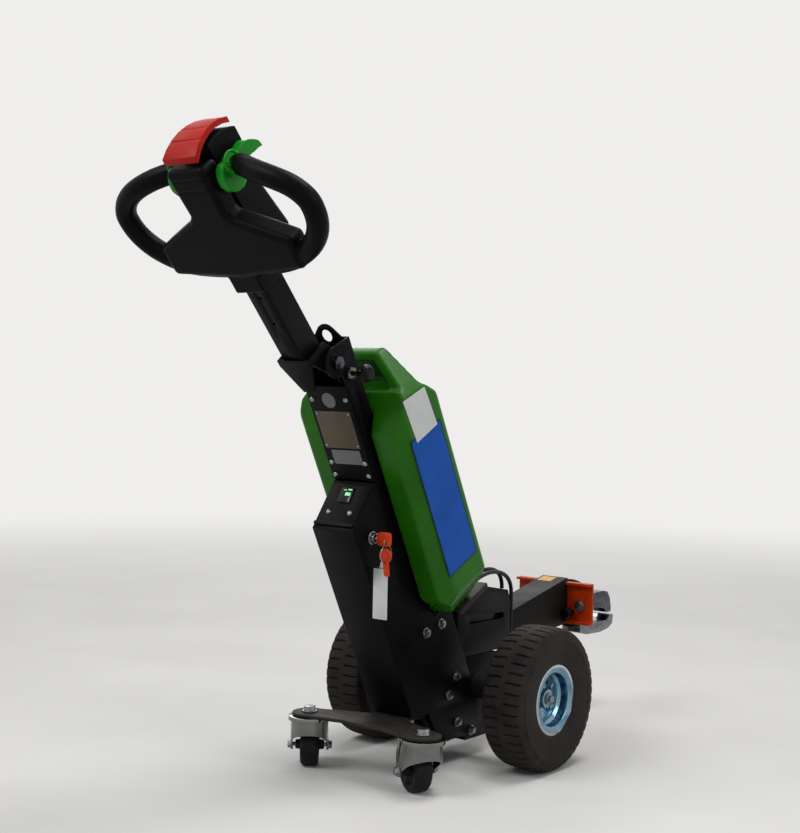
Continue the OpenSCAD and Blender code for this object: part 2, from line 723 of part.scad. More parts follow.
// A channel: its lips point to the operator's side, with the arm between them
module hitch_plate() color("#e8651a") difference() {
    low_z = plate_top_z - plate_h;
    side_slab(-plate_w / 2, plate_w) polygon([
        [plate_y - lip_len, plate_top_z], [plate_y - lip_len, plate_top_z - lip_t],
        [plate_y, plate_top_z - lip_t], [plate_y, low_z + lip_t],
        [plate_y - lip_len, low_z + lip_t], [plate_y - lip_len, low_z],
        [plate_y + hitch_t, low_z], [plate_y + hitch_t, plate_top_z]]);
    translate([-arm_w / 2 - loose_gap, plate_y - lip_len * 2, 0])
        cube([arm_w + loose_gap * 2, lip_len * 2, plate_top_z * 2]);
    for (side = [-1, 1]) translate([side * hitch_bolt_x, 0, hitch_bolt_z])
        y_rod(hitch_bolt_d / 2, plate_y - hitch_t, hitch_t * 3);
    translate([knob_x, 0, knob_z]) y_rod(knob_stem_r + seat_gap, plate_y - hitch_t,
        hitch_t * 3);
    translate([0, 0, boss_z]) y_rod(spindle_r + seat_gap, plate_y - hitch_t, hitch_t * 3);
}
module hitch_plate_bolts() color("#b4b7ba") for (side = [-1, 1])
    translate([side * hitch_bolt_x, plate_y - seat_gap, hitch_bolt_z]) {
        rotate([90, 0, 0]) hex_head(hitch_bolt_d);
        y_rod(hitch_bolt_d / 2 - seat_gap, -seat_gap, hitch_t * 3);
        translate([0, hitch_t + seat_gap * 2, 0]) rotate([-90, 0, 0])
            hex_head(hitch_bolt_d);
    }
// The flange swivels on its spindle in the arm; the knob's pin, drawn back at rest,
// locks it each quarter turn
module hitch_flange() color("#1e1f21") translate([0, 0, boss_z]) difference() {
    union() {
        y_rod(boss_r, plate_y + hitch_t + seat_gap, flange_y - plate_y - hitch_t);
        y_rod(swivel_r, flange_y, flange_h2);
        y_rod(spindle_r, plate_y - spindle_len, spindle_len + flange_h2);
    }
    for (turn = [0:90:270]) rotate([0, turn, 0])
        translate([knob_x, 0, knob_z - boss_z])
            y_rod(knob_stem_r + seat_gap, flange_y - loose_gap, flange_h2 * 2);
}
knob_len = 16;
knob_out = 14;
module pull_knob() color("#202124") translate([knob_x, 0, knob_z]) {
    y_rod(knob_r, plate_y - knob_out - knob_len, knob_len);
    y_rod(knob_stem_r, plate_y - knob_out - knob_len / 2,
        flange_y - seat_gap - plate_y + knob_out + knob_len / 2);
}

// The hook's outline, side view: distances forward of its root, heights over the floor
hook_half = 22;
latch_half = 16;
hook_len = 139;
hook_top_z = 256;
hook_low_z = 168;
hook_span = hook_top_z - hook_low_z;
hook_shares = [[0, 1], [0.2, 1], [0.2, 0.5], [0.3, 0.36], [0.55, 0.26], [0.8, 0.26],
    [0.9, 0.36], [0.985, 0.38], [1, 0.3], [0.97, 0.14], [0.85, 0.05], [0.6, 0],
    [0.2, 0.02], [0, 0.1]];
latch_y = 436;
latch_z = 242;
latch_r = 12;
latch_hang = 22;
latch_pin_r = 5;
head_of_pin = 3.5;
latch_shares = [[0.14, 0.95], [0.75, 0.98], [0.89, 0.94], [0.97, 0.76], [1, 0.56],
    [1, 0.43], [0.87, 0.43], [0.78, 0.54], [0.5, 0.62], [0.14, 0.62]];
function hook_pts(shares) = [for (s = shares) [hook_y + s[0] * hook_len,
    hook_low_z + s[1] * hook_span]];
module hitch_hook() color("#b9bec2") difference() {
    side_slab(-hook_half, hook_half * 2) polygon(hook_pts(hook_shares));
    translate([-latch_half - seat_gap, latch_y - latch_r - loose_gap,
        latch_z - latch_hang])
        cube([latch_half * 2 + seat_gap * 2, hook_len, hook_span]);
    translate([0, latch_y, latch_z]) x_rod(latch_pin_r + seat_gap, -hook_half * 2,
        hook_half * 4);
}
module hitch_latch() color("#a9b0b6") difference() {
    union() {
        side_slab(-latch_half, latch_half * 2) polygon(hook_pts(latch_shares));
        translate([0, latch_y, latch_z]) x_rod(latch_r, -latch_half, latch_half * 2);
    }
    translate([0, latch_y, latch_z]) x_rod(latch_pin_r + run_gap, -hook_half * 2,
        hook_half * 4);
}
module latch_pin() color("#8c9094") translate([0, latch_y, latch_z]) {
    x_rod(latch_pin_r, -hook_half - latch_pin_r, hook_half * 2 + latch_pin_r * 2);
    for (side = [-1, 1]) x_rod(latch_pin_r + latch_pin_r / 2, side > 0
        ? hook_half + seat_gap : -hook_half - seat_gap - head_of_pin, head_of_pin);
}

// Casters under their cross plate.

caster_plate_r = 31;
plate_mid_front = 12;
plate_tongue_half = 38;
plate_rear_y = -211;
stem_d = 12;
module caster_plate() color("#26272a") translate([0, 0, caster_plate_z]) difference() {
    linear_extrude(caster_plate_h) {
        for (side = [-1, 1]) translate([side * caster_x, -caster_y])
            circle(r = caster_plate_r);
        polygon([
            [-caster_x, -caster_y - caster_plate_r],
            [-col_half, -caster_y - plate_mid_front], [col_half, -caster_y - plate_mid_front],
            [caster_x, -caster_y - caster_plate_r], [caster_x, caster_plate_r - caster_y],
            [plate_tongue_half + sheet_t, plate_rear_y], [plate_tongue_half, plate_rear_y],
            [plate_tongue_half, box_low_back_y], [-plate_tongue_half, box_low_back_y],
            [-plate_tongue_half, plate_rear_y], [-plate_tongue_half - sheet_t, plate_rear_y],
            [-caster_x, caster_plate_r - caster_y]]);
    }
    for (side = [-1, 1]) translate([side * caster_x, -caster_y, -caster_plate_h])
        cylinder(h = caster_plate_h * 3, r = stem_d / 2);
}
plate_bolt_x = 24;
plate_bolt_y = -176;
plate_bolt_d = 8;
module caster_plate_bolts() color("#aeb2b6") for (side = [-1, 1])
    translate([side * plate_bolt_x, plate_bolt_y, caster_plate_z - seat_gap])
        rotate([180, 0, 0]) hex_head(plate_bolt_d);

trail = 27;
cap_r = 38;
cap_h = 7;
race_h = 6;
fork_half = 30;
fork_t = 3;
hood_front_h = 28;
hood_mid_h = 42;
leg_r = 10;
caster_axle_d = 8;
module at_caster(side, yaw) translate([side * caster_x, -caster_y, 0])
    rotate([0, 0, yaw]) children();
module caster_stem(side) color("#c6c9cb") translate([side * caster_x, -caster_y, 0]) {
    translate([0, 0, caster_plate_z + caster_plate_h + seat_gap]) hex_head(stem_d);
    translate([0, 0, caster_plate_z - cap_h * 2])
        cylinder(h = caster_plate_h + cap_h * 2 + loose_gap, r = stem_d / 2 - run_gap);
}
// Plan of the pressed fork: round in front of the wheel, straight along both legs
module fork_plan(r) {
    circle(r = r);
    translate([0, -r]) square([trail + leg_r, r * 2]);
}
module caster_fork(side, yaw) color("#c9cccd") at_caster(side, yaw) difference() {
    top = caster_plate_z - seat_gap;
    z = caster_d / 2;
    union() {
        translate([0, 0, top - cap_h]) cylinder(h = cap_h, r = cap_r);
        translate([0, 0, top - cap_h - race_h]) cylinder(h = race_h + loose_gap,
            r = cap_r - race_h);
        // Its lower edge sweeps from the front down to the axle
        intersection() {
            linear_extrude(top) difference() {
                fork_plan(fork_half + fork_t);
                fork_plan(fork_half);
            }
            rotate([90, 0, 0]) translate([0, 0, -cap_r]) linear_extrude(cap_r * 2) {
                polygon([[-cap_r, top - cap_h / 2], [-cap_r, top - hood_front_h],
                    [-leg_r, top - hood_mid_h], [trail - leg_r, z], [trail + leg_r, z],
                    [trail + leg_r, top - hood_front_h], [trail, top - cap_h / 2]]);
                translate([trail, z]) circle(r = leg_r);
            }
        }
    }
    translate([0, 0, top - cap_h * 3]) cylinder(h = cap_h * 4, r = stem_d / 2);
    translate([trail, 0, z]) rotate([90, 0, 0]) translate([0, 0, -fork_half * 2])
        cylinder(h = fork_half * 4, r = caster_axle_d / 2);
}
module caster_axle(side, yaw) color("#b7babd") at_caster(side, yaw)
    translate([trail, 0, caster_d / 2]) rotate([90, 0, 0]) {
        translate([0, 0, -fork_half - fork_t]) cylinder(h = fork_half * 2 + fork_t * 2,
            r = caster_axle_d / 2 - seat_gap);
        for (flipped = [0, 180]) rotate([flipped, 0, 0])
            translate([0, 0, fork_half + fork_t + seat_gap]) hex_head(caster_axle_d);
    }
caster_hub_half = 26;
caster_bore_r = caster_axle_d / 2 - seat_gap + run_gap;
caster_round = 4;
hub_foot_r = 10.4;
hub_foot_share = 0.7;
web_half_share = 0.6;
web_r_share = 0.6;
tread_r_share = 0.72;
module caster_wheel(side, yaw) color("#2a2a2c") at_caster(side, yaw)
    translate([trail, 0, caster_d / 2]) rotate([90, 0, 0]) rotate_extrude($fn = 64) {
        r = caster_d / 2;
        w = caster_w / 2;
        polygon([[caster_bore_r, -caster_hub_half],
            [caster_axle_d, -caster_hub_half], [hub_foot_r, -w * hub_foot_share],
            [r * web_r_share, -w * web_half_share], [r * tread_r_share, -w],
            [r - caster_round, -w], [r, caster_round - w], [r, w - caster_round],
            [r - caster_round, w], [r * tread_r_share, w],
            [r * web_r_share, w * web_half_share], [hub_foot_r, w * hub_foot_share],
            [caster_axle_d, caster_hub_half], [caster_bore_r, caster_hub_half]]);
    }
module caster_left_stem() caster_stem(-1);
module caster_left_fork() caster_fork(-1, caster_left_yaw);
module caster_left_axle() caster_axle(-1, caster_left_yaw);
module caster_left_wheel() caster_wheel(-1, caster_left_yaw);
module caster_right_stem() caster_stem(1);
module caster_right_fork() caster_fork(1, caster_right_yaw);
module caster_right_axle() caster_axle(1, caster_right_yaw);
module caster_right_wheel() caster_wheel(1, caster_right_yaw);

// Tiller: in its own frame the pivot is the origin and z runs up the tiller.

cheek_out = 34;
cheek_t = 4;
cheek_r = 19;
web_t = 4;
web_top = 38;
web_knee = 26;
web_tip = -28;
web_tip_half = 12;
tube_front = -38;
tube_back = tube_front + tube_w;
tube_low = 14;
tube_wall = 3;
pivot_r = 8;
index_hole_d = 8.6;
index_step = 15;
index_rad = norm([index_n - pivot_n, index_t - pivot_t]);
index_ang = atan2(index_t - pivot_t, index_n - pivot_n) - tiller_a;
sector_rim = 7;
sector_side = 11;
module cheek_outline() {
    polygon([[tube_front, web_top], [tube_front, web_knee], [-pivot_r * 2, -pivot_r],
        [pivot_r * 2, -pivot_r], [tube_back + pivot_r, web_knee], [tube_back, web_top]]);
    circle(r = cheek_r);
}
module tiller_bracket() color("#1a1b1d") in_tiller() difference() {
    union() {
        for (side = [-1, 1]) side_slab(side > 0 ? cheek_out - cheek_t : -cheek_out, cheek_t)
            cheek_outline();
        front_slab(tube_front - seat_gap - web_t, web_t) polygon([
            [-cheek_out, web_top], [-cheek_out, web_knee], [-web_tip_half, web_tip],
            [web_tip_half, web_tip], [cheek_out, web_knee], [cheek_out, web_top]]);
        for (side = [-1, 1]) translate([side > 0 ? cheek_out - cheek_t : -cheek_out,
            tube_front - web_t, web_knee]) cube([cheek_t, web_t * 2, web_top - web_knee]);
        // Index sector on the right cheek
        side_slab(cheek_out - cheek_t, cheek_t) polygon(concat([[0, 0]],
            arc_pts([0, 0], index_rad + sector_rim, index_ang - index_step - sector_side,
                index_ang + index_step + sector_side)));
    }
    x_rod(pivot_r + run_gap, -col_w, col_w * 2);
    for (i = [-1:1]) rotate([index_ang + i * index_step, 0, 0])
        translate([0, index_rad, 0]) x_rod(index_hole_d / 2, 0, col_w);
}
pivot_head_h = 8;
pivot_head_r = 11.5;
module pivot_bolt() color("#55585c") in_column() translate([0, pivot_n, pivot_t]) {
    x_rod(pivot_r, -col_half - pivot_head_h - seat_gap, col_w + pivot_head_h * 2
        + seat_gap * 2);
    for (side = [-1, 1]) translate([side > 0 ? col_half + seat_gap
        : -col_half - seat_gap - pivot_head_h, 0, 0]) rotate([0, 90, 0])
        cylinder(h = pivot_head_h, r = pivot_head_r, $fn = 6);
}
bush_flange_r = 14;
module pivot_bushes() color("#7d6a3c") in_column() translate([0, pivot_n, pivot_t])
    both_sides() difference() {
        union() {
            x_rod(pivot_bush_d / 2 - seat_gap, in_half - seat_gap * 2, sheet_t + seat_gap);
            x_rod(bush_flange_r, cheek_out + seat_gap, in_half - cheek_out
                - seat_gap * 2);
        }
        x_rod(pivot_r + run_gap, 0, col_w);
    }
tube_hole_d = 6;
tube_holes = [111, 162];
tube_top = 236;
module tiller_tube() color("#1a1b1d") in_tiller() difference() {
    translate([-tube_w / 2, tube_front, tube_low]) cube([tube_w, tube_w,
        tube_top + head_lift - tube_low]);
    translate([-tube_w / 2 + tube_wall, tube_front + tube_wall, tube_low - tube_wall])
        cube([tube_w - tube_wall * 2, tube_w - tube_wall * 2, tiller_len]);
    for (t = tube_holes) translate([0, 0, t])
        y_rod(tube_hole_d / 2, tube_front - tube_wall, tube_wall * 3);
}

// Index plunger, drawn back: pushed in, its pin locks the tiller's sector
pin_r = 4;
nut_h = 7;
nut_r = 11;
plunger_knob_x = 75;
plunger_knob_r = 14.5;
plunger_knob_h = 14;
knob_edge_share = 0.6;
knob_face_share = 0.7;
pin_tip_x = cheek_out + seat_gap;
module at_index() in_column() translate([0, index_n, index_t]) children();
module index_sleeve() color("#a3853f") at_index() difference() {
    union() {
        x_rod(sleeve_d / 2 - seat_gap, in_half - sheet_t, sheet_t * 2 + nut_h);
        translate([col_half + seat_gap, 0, 0]) rotate([0, 90, 0])
            cylinder(h = nut_h, r = nut_r, $fn = 6);
    }
    x_rod(pin_r + run_gap, 0, col_w);
}
module index_plunger() color("#16171a") at_index() {
    x_rod(pin_r, pin_tip_x, plunger_knob_x - pin_tip_x + loose_gap);
    translate([plunger_knob_x, 0, 0]) rotate([0, 90, 0]) rotate_extrude() polygon([
        [0, 0], [pin_r * 2, 0], [plunger_knob_r, pin_r],
        [plunger_knob_r, plunger_knob_h * knob_edge_share],
        [plunger_knob_r * knob_face_share, plunger_knob_h],
        [0, plunger_knob_h]]);
}

// Tiller head: front moulding with both loops, rear cover, switches. Its places are drawn
// for a head that ends head_len above the pivot, and the tube's length lifts it all.

head_len = 412;
head_lift = tiller_len - head_len;
module in_head() in_tiller() translate([0, 0, head_lift]) children();

head_front = -54;
split_n = -15;
ball_r = 10;
neck_r = 10;
lever_n = -2;
lever_t = 380;
hub_w = 20;
hub_x = 41;
// The loop leaves the head past the lever's hub, and its shares run from there to the
// reach of the grip's middle line, and up the head's length
loop_root_x = hub_x + hub_w + loose_gap;
loop_start_x = loop_root_x + ball_r / 2;
loop_reach = loop_half_w - grip_d / 2 - loop_start_x;
loop_shares = [[0, -0.005, 0.9225], [0.275, -0.05, 0.925], [0.578, -0.075, 0.904],
    [0.829, -0.08, 0.864], [0.981, -0.082, 0.81], [1, -0.083, 0.756], [0.948, -0.083, 0.698],
    [0.813, -0.083, 0.641], [0.594, -0.083, 0.593], [0.309, -0.083, 0.558],
    [-0.061, -0.083, 0.542], [-0.447, -0.083, 0.535]];
loop_fine = 3;
loop_sides = 16;
function loop_pt(i) = let (s = loop_shares[max(0, min(len(loop_shares) - 1, i))])
    [loop_start_x + s[0] * loop_reach, s[1] * head_len, s[2] * head_len];
// Smooth curve through the loop's points
function loop_curve(i, u) = 1 / 2 * (2 * loop_pt(i) + u * (loop_pt(i + 1) - loop_pt(i - 1))
    + u * u * (2 * loop_pt(i - 1) - 5 * loop_pt(i) + 4 * loop_pt(i + 1) - loop_pt(i + 2))
    + u * u * u * (3 * loop_pt(i) - loop_pt(i - 1) - 3 * loop_pt(i + 1) + loop_pt(i + 2)));
loop_path = concat([loop_pt(0) - [ball_r / 2, 0, 0]],
    [for (i = [0:len(loop_shares) - 2], j = [0:loop_fine - 1])
    loop_curve(i, j / loop_fine)], [loop_pt(len(loop_shares) - 1)]);
waist_half = 27;
waist_t = 325;
brow_half = 30;
brow_t = 397;
wing_x = 128;
wing_top_t = 268;
wing_low_t = 231;
hem_t = 221;
collar_half = 30;
collar_low = 181;
collar_back = 18;
// Rounded block: the hull of balls at its corner middles
module balls(pts, r) hull() for (p = pts) translate(p) sphere(r = r, $fn = 20);
function pair(x, n, t) = [[-x, n, t], [x, n, t]];
front_n = head_front + ball_r;
back_n = split_n - ball_r;
module head_base() color("#191a1c") in_head() difference() {
    union() {
        balls(concat(pair(brow_half, front_n, brow_t), pair(brow_half, back_n, brow_t),
            pair(waist_half, front_n, waist_t), pair(waist_half, back_n, waist_t)), ball_r);
        balls(concat(pair(waist_half, front_n, waist_t), pair(waist_half, back_n, waist_t),
            pair(wing_x / 2, front_n, wing_low_t), pair(wing_x / 2, back_n, wing_low_t),
            pair(wing_x / 2, front_n, wing_top_t + ball_r)), ball_r);
        both_sides() balls([[waist_half, front_n, waist_t - ball_r],
            [waist_half, back_n, waist_t - ball_r], [wing_x, front_n, wing_top_t],
            [wing_x, back_n, wing_top_t], [wing_x, front_n, wing_low_t],
            [wing_x, back_n, wing_low_t], [0, front_n, hem_t], [0, back_n, hem_t]], ball_r);
        translate([-collar_half, head_front + web_t, collar_low])
            cube([collar_half * 2, collar_back - head_front - web_t,
                hem_t + ball_r - collar_low]);
        both_sides() bent_tube(loop_path, grip_d / 2, loop_sides, [0, 1, 0]);
        translate([0, lever_n, lever_t]) x_rod(neck_r, -loop_root_x - ball_r,
            loop_root_x * 2 + ball_r * 2);
    }
    translate([-tube_w / 2 - seat_gap, tube_front - seat_gap, collar_low - loose_gap])
        cube([tube_w + seat_gap * 2, tube_w + seat_gap * 2, tube_top - collar_low
            + loose_gap + seat_gap]);
    // Seat of the rear cover
    translate([-cover_side - loose_gap, split_n, hem_t + ball_r + seat_gap])
        cube([cover_side * 2 + loose_gap * 2, head_len, head_len]);
}
cover_side = 38;
hump_half = 34;
arch_n = 10;
arch_r = 87;
arch_t = 340;
red_inner_r = 93;
red_outer_r = 102;
hump_back = 54;
back_low = 46;
bulge_back = 62;
hump_low_t = 330;
bulge_t = 228;
bulge_top_t = 262;
cover_foot_t = 241;
module head_cover() color("#191a1c") in_head() difference() {
    union() {
        intersection() {
            translate([-hump_half, split_n + seat_gap, hump_low_t])
                cube([hump_half * 2, hump_back - split_n - seat_gap, head_len]);
            translate([0, arch_n, arch_t]) x_rod(arch_r, -col_w, col_w * 2);
        }
        intersection() {
            hull() {
                balls(pair(hump_half - ball_r, back_low - ball_r, hump_low_t + ball_r * 2),
                    ball_r);
                balls(pair(cover_side - ball_r, split_n, hump_low_t + ball_r * 2), ball_r);
                balls(pair(cover_side - ball_r, split_n, cover_foot_t), ball_r);
                balls(pair(cover_side - ball_r, back_low - ball_r, bulge_top_t), ball_r);
                balls(pair(cover_side - ball_r, bulge_back - ball_r, bulge_t + ball_r), ball_r);
            }
            translate([-col_w, split_n + seat_gap, hem_t + ball_r + seat_gap * 2])
                cube([col_w * 2, head_len, head_len]);
        }
    }
    translate([0, lever_n, lever_t]) x_rod(neck_r + seat_gap, -col_w, col_w * 2);
    translate([0, 0, horn_t]) y_rod(horn_r + seat_gap, horn_seat, head_len);
    translate([-tube_w / 2 - seat_gap, tube_front - seat_gap, 0])
        cube([tube_w + seat_gap * 2, tube_w + seat_gap * 2, tube_top + seat_gap]);
}
// Red belly switch: a curved pad over the head's upper end
red_low_half = 35;
red_top_half = 25;
red_low = -46;
red_top = 56;
red_travel = 5;
red_step = 1.2;
red_steps = [-18, 8];
function belly_arc(r, n0, n1) = arc_pts([arch_n, arch_t], r,
    acos((n0 - arch_n) / r), acos((n1 - arch_n) / r));
module belly_switch() color("#c4241c") in_head() difference() {
    intersection() {
        side_slab(-red_low_half, red_low_half * 2) polygon(concat(
            belly_arc(red_outer_r, red_low, red_top),
            belly_arc(red_inner_r, red_top, red_low)));
        linear_extrude(head_len * 2) polygon([[-red_low_half, red_low],
            [red_low_half, red_low], [red_top_half, red_top], [-red_top_half, red_top]]);
    }
    // Two fine grooves across its face
    for (n = red_steps) translate([-red_low_half * 2, n,
        arch_t + sqrt(pow(red_outer_r, 2) - pow(n - arch_n, 2)) - red_step])
        cube([red_low_half * 4, red_step, red_outer_r]);
}
// Throttle levers: a hub round the loop's root, a thumb tab above, a lobe below
hub_out_r = 19;
tab_root_share = 0.6;
lobe_root_share = 0.9;
tab_r = 7;
lobe_len = 42;
lobe_end_r = 11;
tab_ang = 4;
lobe_ang = 250;
module throttle(side) color("#2fae35") in_head() mirror([side < 0 ? 1 : 0, 0, 0])
    translate([hub_x, lever_n, lever_t]) difference() {
        union() {
            x_rod(hub_out_r, 0, hub_w);
            hull() {
                x_rod(hub_out_r * tab_root_share, 0, hub_w);
                rotate([tab_ang, 0, 0]) translate([0, lever_len - tab_r, 0])
                    x_rod(tab_r, 0, hub_w);
            }
            hull() {
                x_rod(hub_out_r * lobe_root_share, 0, hub_w);
                rotate([lobe_ang, 0, 0]) translate([0, lobe_len - lobe_end_r, 0])
                    x_rod(lobe_end_r, 0, hub_w);
            }
        }
        x_rod(neck_r + run_gap, -hub_w, hub_w * 3);
    }
module throttle_left() throttle(-1);
module throttle_right() throttle(1);
horn_r = 7;
horn_t = 262;
horn_seat = 38;
horn_h = 12;
module horn_button() color("#5c8f3c") in_head() translate([0, 0, horn_t])
    y_rod(horn_r, horn_seat + red_travel / 2, horn_h);

column_frame();
front_plate();
lower_cover();
type_plate();
control_panel();
battery_gauge();
front_screws();
side_bolts();
key_switch();
ignition_key();
key_fob();
battery_tray();
battery_socket();
battery_case();
battery_cable();
motor_cable();
drive_cover();
controller();
gearbox();
drive_motor();
motor_brake();
tow_arm();
hitch_plate();
hitch_plate_bolts();
hitch_flange();
hitch_hook();
hitch_latch();
latch_pin();
pull_knob();
caster_plate();
caster_plate_bolts();
caster_left_stem();
caster_left_fork();
caster_left_axle();
caster_left_wheel();
caster_right_stem();
caster_right_fork();
caster_right_axle();
caster_right_wheel();
wheel_left_shaft();
wheel_left_hub();
wheel_left_rim();
wheel_left_tyre();
wheel_right_shaft();
wheel_right_hub();
wheel_right_rim();
wheel_right_tyre();
tiller_bracket();
pivot_bolt();
pivot_bushes();
tiller_tube();
index_sleeve();
index_plunger();
head_base();
head_cover();
belly_switch();
throttle_left();
throttle_right();
horn_button();
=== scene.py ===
"""Looks of the walk-behind electric tug: finishes, the moulded head, tyres and labels
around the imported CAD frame. Lengths are in metres, built up from millimetres with MM.
The floor is z = 0, the drive axle lies along X, the towed load is on +Y."""

import json
import math

import bmesh
import bpy
from mathutils import Matrix, Vector


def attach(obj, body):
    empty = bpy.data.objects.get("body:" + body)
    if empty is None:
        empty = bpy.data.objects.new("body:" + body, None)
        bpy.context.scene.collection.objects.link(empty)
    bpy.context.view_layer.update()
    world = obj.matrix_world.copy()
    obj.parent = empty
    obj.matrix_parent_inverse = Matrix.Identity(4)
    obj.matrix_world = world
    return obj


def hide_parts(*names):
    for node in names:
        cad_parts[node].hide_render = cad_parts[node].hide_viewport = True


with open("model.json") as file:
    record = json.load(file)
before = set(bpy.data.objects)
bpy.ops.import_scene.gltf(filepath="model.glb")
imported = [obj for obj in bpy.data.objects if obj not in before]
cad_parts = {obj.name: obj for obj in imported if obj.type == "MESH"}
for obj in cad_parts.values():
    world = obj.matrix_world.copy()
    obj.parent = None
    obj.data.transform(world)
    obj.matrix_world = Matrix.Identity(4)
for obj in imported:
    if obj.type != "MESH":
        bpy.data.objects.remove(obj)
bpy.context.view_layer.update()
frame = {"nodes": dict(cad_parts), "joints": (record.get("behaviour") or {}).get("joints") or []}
NODES = frame["nodes"]
MM = 0.001
AXLE_Z = 130


# Camera and light

PHOTO_W = 800
PHOTO_FOCAL_PX = 1428.43
SENSOR_MM = 36.0
CAMERA_AT = Vector((1.54697, -2.19506, 0.68703))
CAMERA_AZIMUTH = math.radians(37.71)
CAMERA_PITCH = math.radians(1.21)
CAMERA_ROLL = math.radians(1.20)


def place_camera():
    """The photograph's own viewpoint, fitted to the machine."""
    ahead = Vector((
        -math.sin(CAMERA_AZIMUTH) * math.cos(CAMERA_PITCH),
        math.cos(CAMERA_AZIMUTH) * math.cos(CAMERA_PITCH),
        -math.sin(CAMERA_PITCH),
    ))
    level = Vector((math.cos(CAMERA_AZIMUTH), math.sin(CAMERA_AZIMUTH), 0.0))
    over = level.cross(ahead)
    right = math.cos(CAMERA_ROLL) * level + math.sin(CAMERA_ROLL) * over
    up = math.cos(CAMERA_ROLL) * over - math.sin(CAMERA_ROLL) * level
    data = bpy.data.cameras.new("photo_camera")
    data.sensor_fit = "HORIZONTAL"
    data.sensor_width = SENSOR_MM
    data.lens = SENSOR_MM * PHOTO_FOCAL_PX / PHOTO_W
    camera = bpy.data.objects.new("photo_camera", data)
    turn = Matrix((right, up, -ahead)).transposed()
    camera.matrix_world = Matrix.Translation(CAMERA_AT) @ turn.to_4x4()
    bpy.context.scene.collection.objects.link(camera)
    bpy.context.scene.camera = camera


place_camera()


# Materials: colours are sRGB hex values, pattern scales come from millimetres

def linear(hex_colour):
    """Scene colour of an sRGB hex value."""
    parts = [int(hex_colour[i : i + 2], 16) / 255 for i in (1, 3, 5)]
    return [p / 12.92 if p <= 0.04045 else ((p + 0.055) / 1.055) ** 2.4 for p in parts] + [1.0]


def feed(tree, node, **sockets):
    """Gives a node's sockets values, or links them to other nodes' sockets."""
    for key, value in sockets.items():
        word = key.replace("_", " ")
        socket = node.inputs[int(word)] if word.strip().isdigit() else node.inputs[word]
        if isinstance(value, bpy.types.NodeSocket):
            tree.links.new(value, socket)
        else:
            socket.default_value = value


def add(tree, kind, settings=None, stops=(), **sockets):
    """A node with its settings, its colour stops and its sockets."""
    made = tree.nodes.new(kind)
    for key, value in (settings or {}).items():
        setattr(made, key, value)
    for element, (at, colour) in zip(made.color_ramp.elements if stops else (), stops):
        element.position = at
        element.color = linear(colour)
    feed(tree, made, **sockets)
    return made


def per_mm(size_mm):
    """Pattern scale that gives features of about size_mm."""
    return 1 / (size_mm * MM)


def start(name):
    """An empty material: its tree, its shader and the object coordinates."""
    material = bpy.data.materials.new(name)
    material.use_nodes = True
    tree = material.node_tree
    tree.nodes.clear()
    shader = add(tree, "ShaderNodeBsdfPrincipled")
    out = add(tree, "ShaderNodeOutputMaterial")
    tree.links.new(shader.outputs["BSDF"], out.inputs["Surface"])
    place = add(tree, "ShaderNodeTexCoord").outputs["Object"]
    return material, tree, shader, place


def moulded(name, base, worn, rough, grain_mm, grain_depth, metallic=0.0, patch_mm=60.0,
            shine=0.5):
    """A moulded, painted or coated surface: slow colour change, patchy gloss, fine grain."""
    material, tree, shader, place = start(name)
    patches = add(tree, "ShaderNodeTexNoise", Vector=place, Scale=per_mm(patch_mm), Detail=4.0,
                  Roughness=0.6)
    tone = add(tree, "ShaderNodeValToRGB", stops=[(0.3, base), (0.7, worn)],
               Fac=patches.outputs["Fac"])
    sheen = add(tree, "ShaderNodeTexNoise", Vector=place, Scale=per_mm(patch_mm / 4), Detail=5.0,
                Roughness=0.65)
    gloss = add(tree, "ShaderNodeMapRange", Value=sheen.outputs["Fac"], From_Min=0.3,
                From_Max=0.7, To_Min=rough[0], To_Max=rough[1])
    grain = add(tree, "ShaderNodeTexNoise", Vector=place, Scale=per_mm(grain_mm), Detail=2.0)
    relief = add(tree, "ShaderNodeBump", Height=grain.outputs["Fac"], Distance=grain_depth * MM)
    feed(tree, shader, Base_Color=tone.outputs["Color"], Roughness=gloss.outputs["Result"],
         Normal=relief.outputs["Normal"], Metallic=metallic, Specular_IOR_Level=shine)
    return material


RIPPLE_MM = 2.5
RIPPLE_DEPTH = 0.006


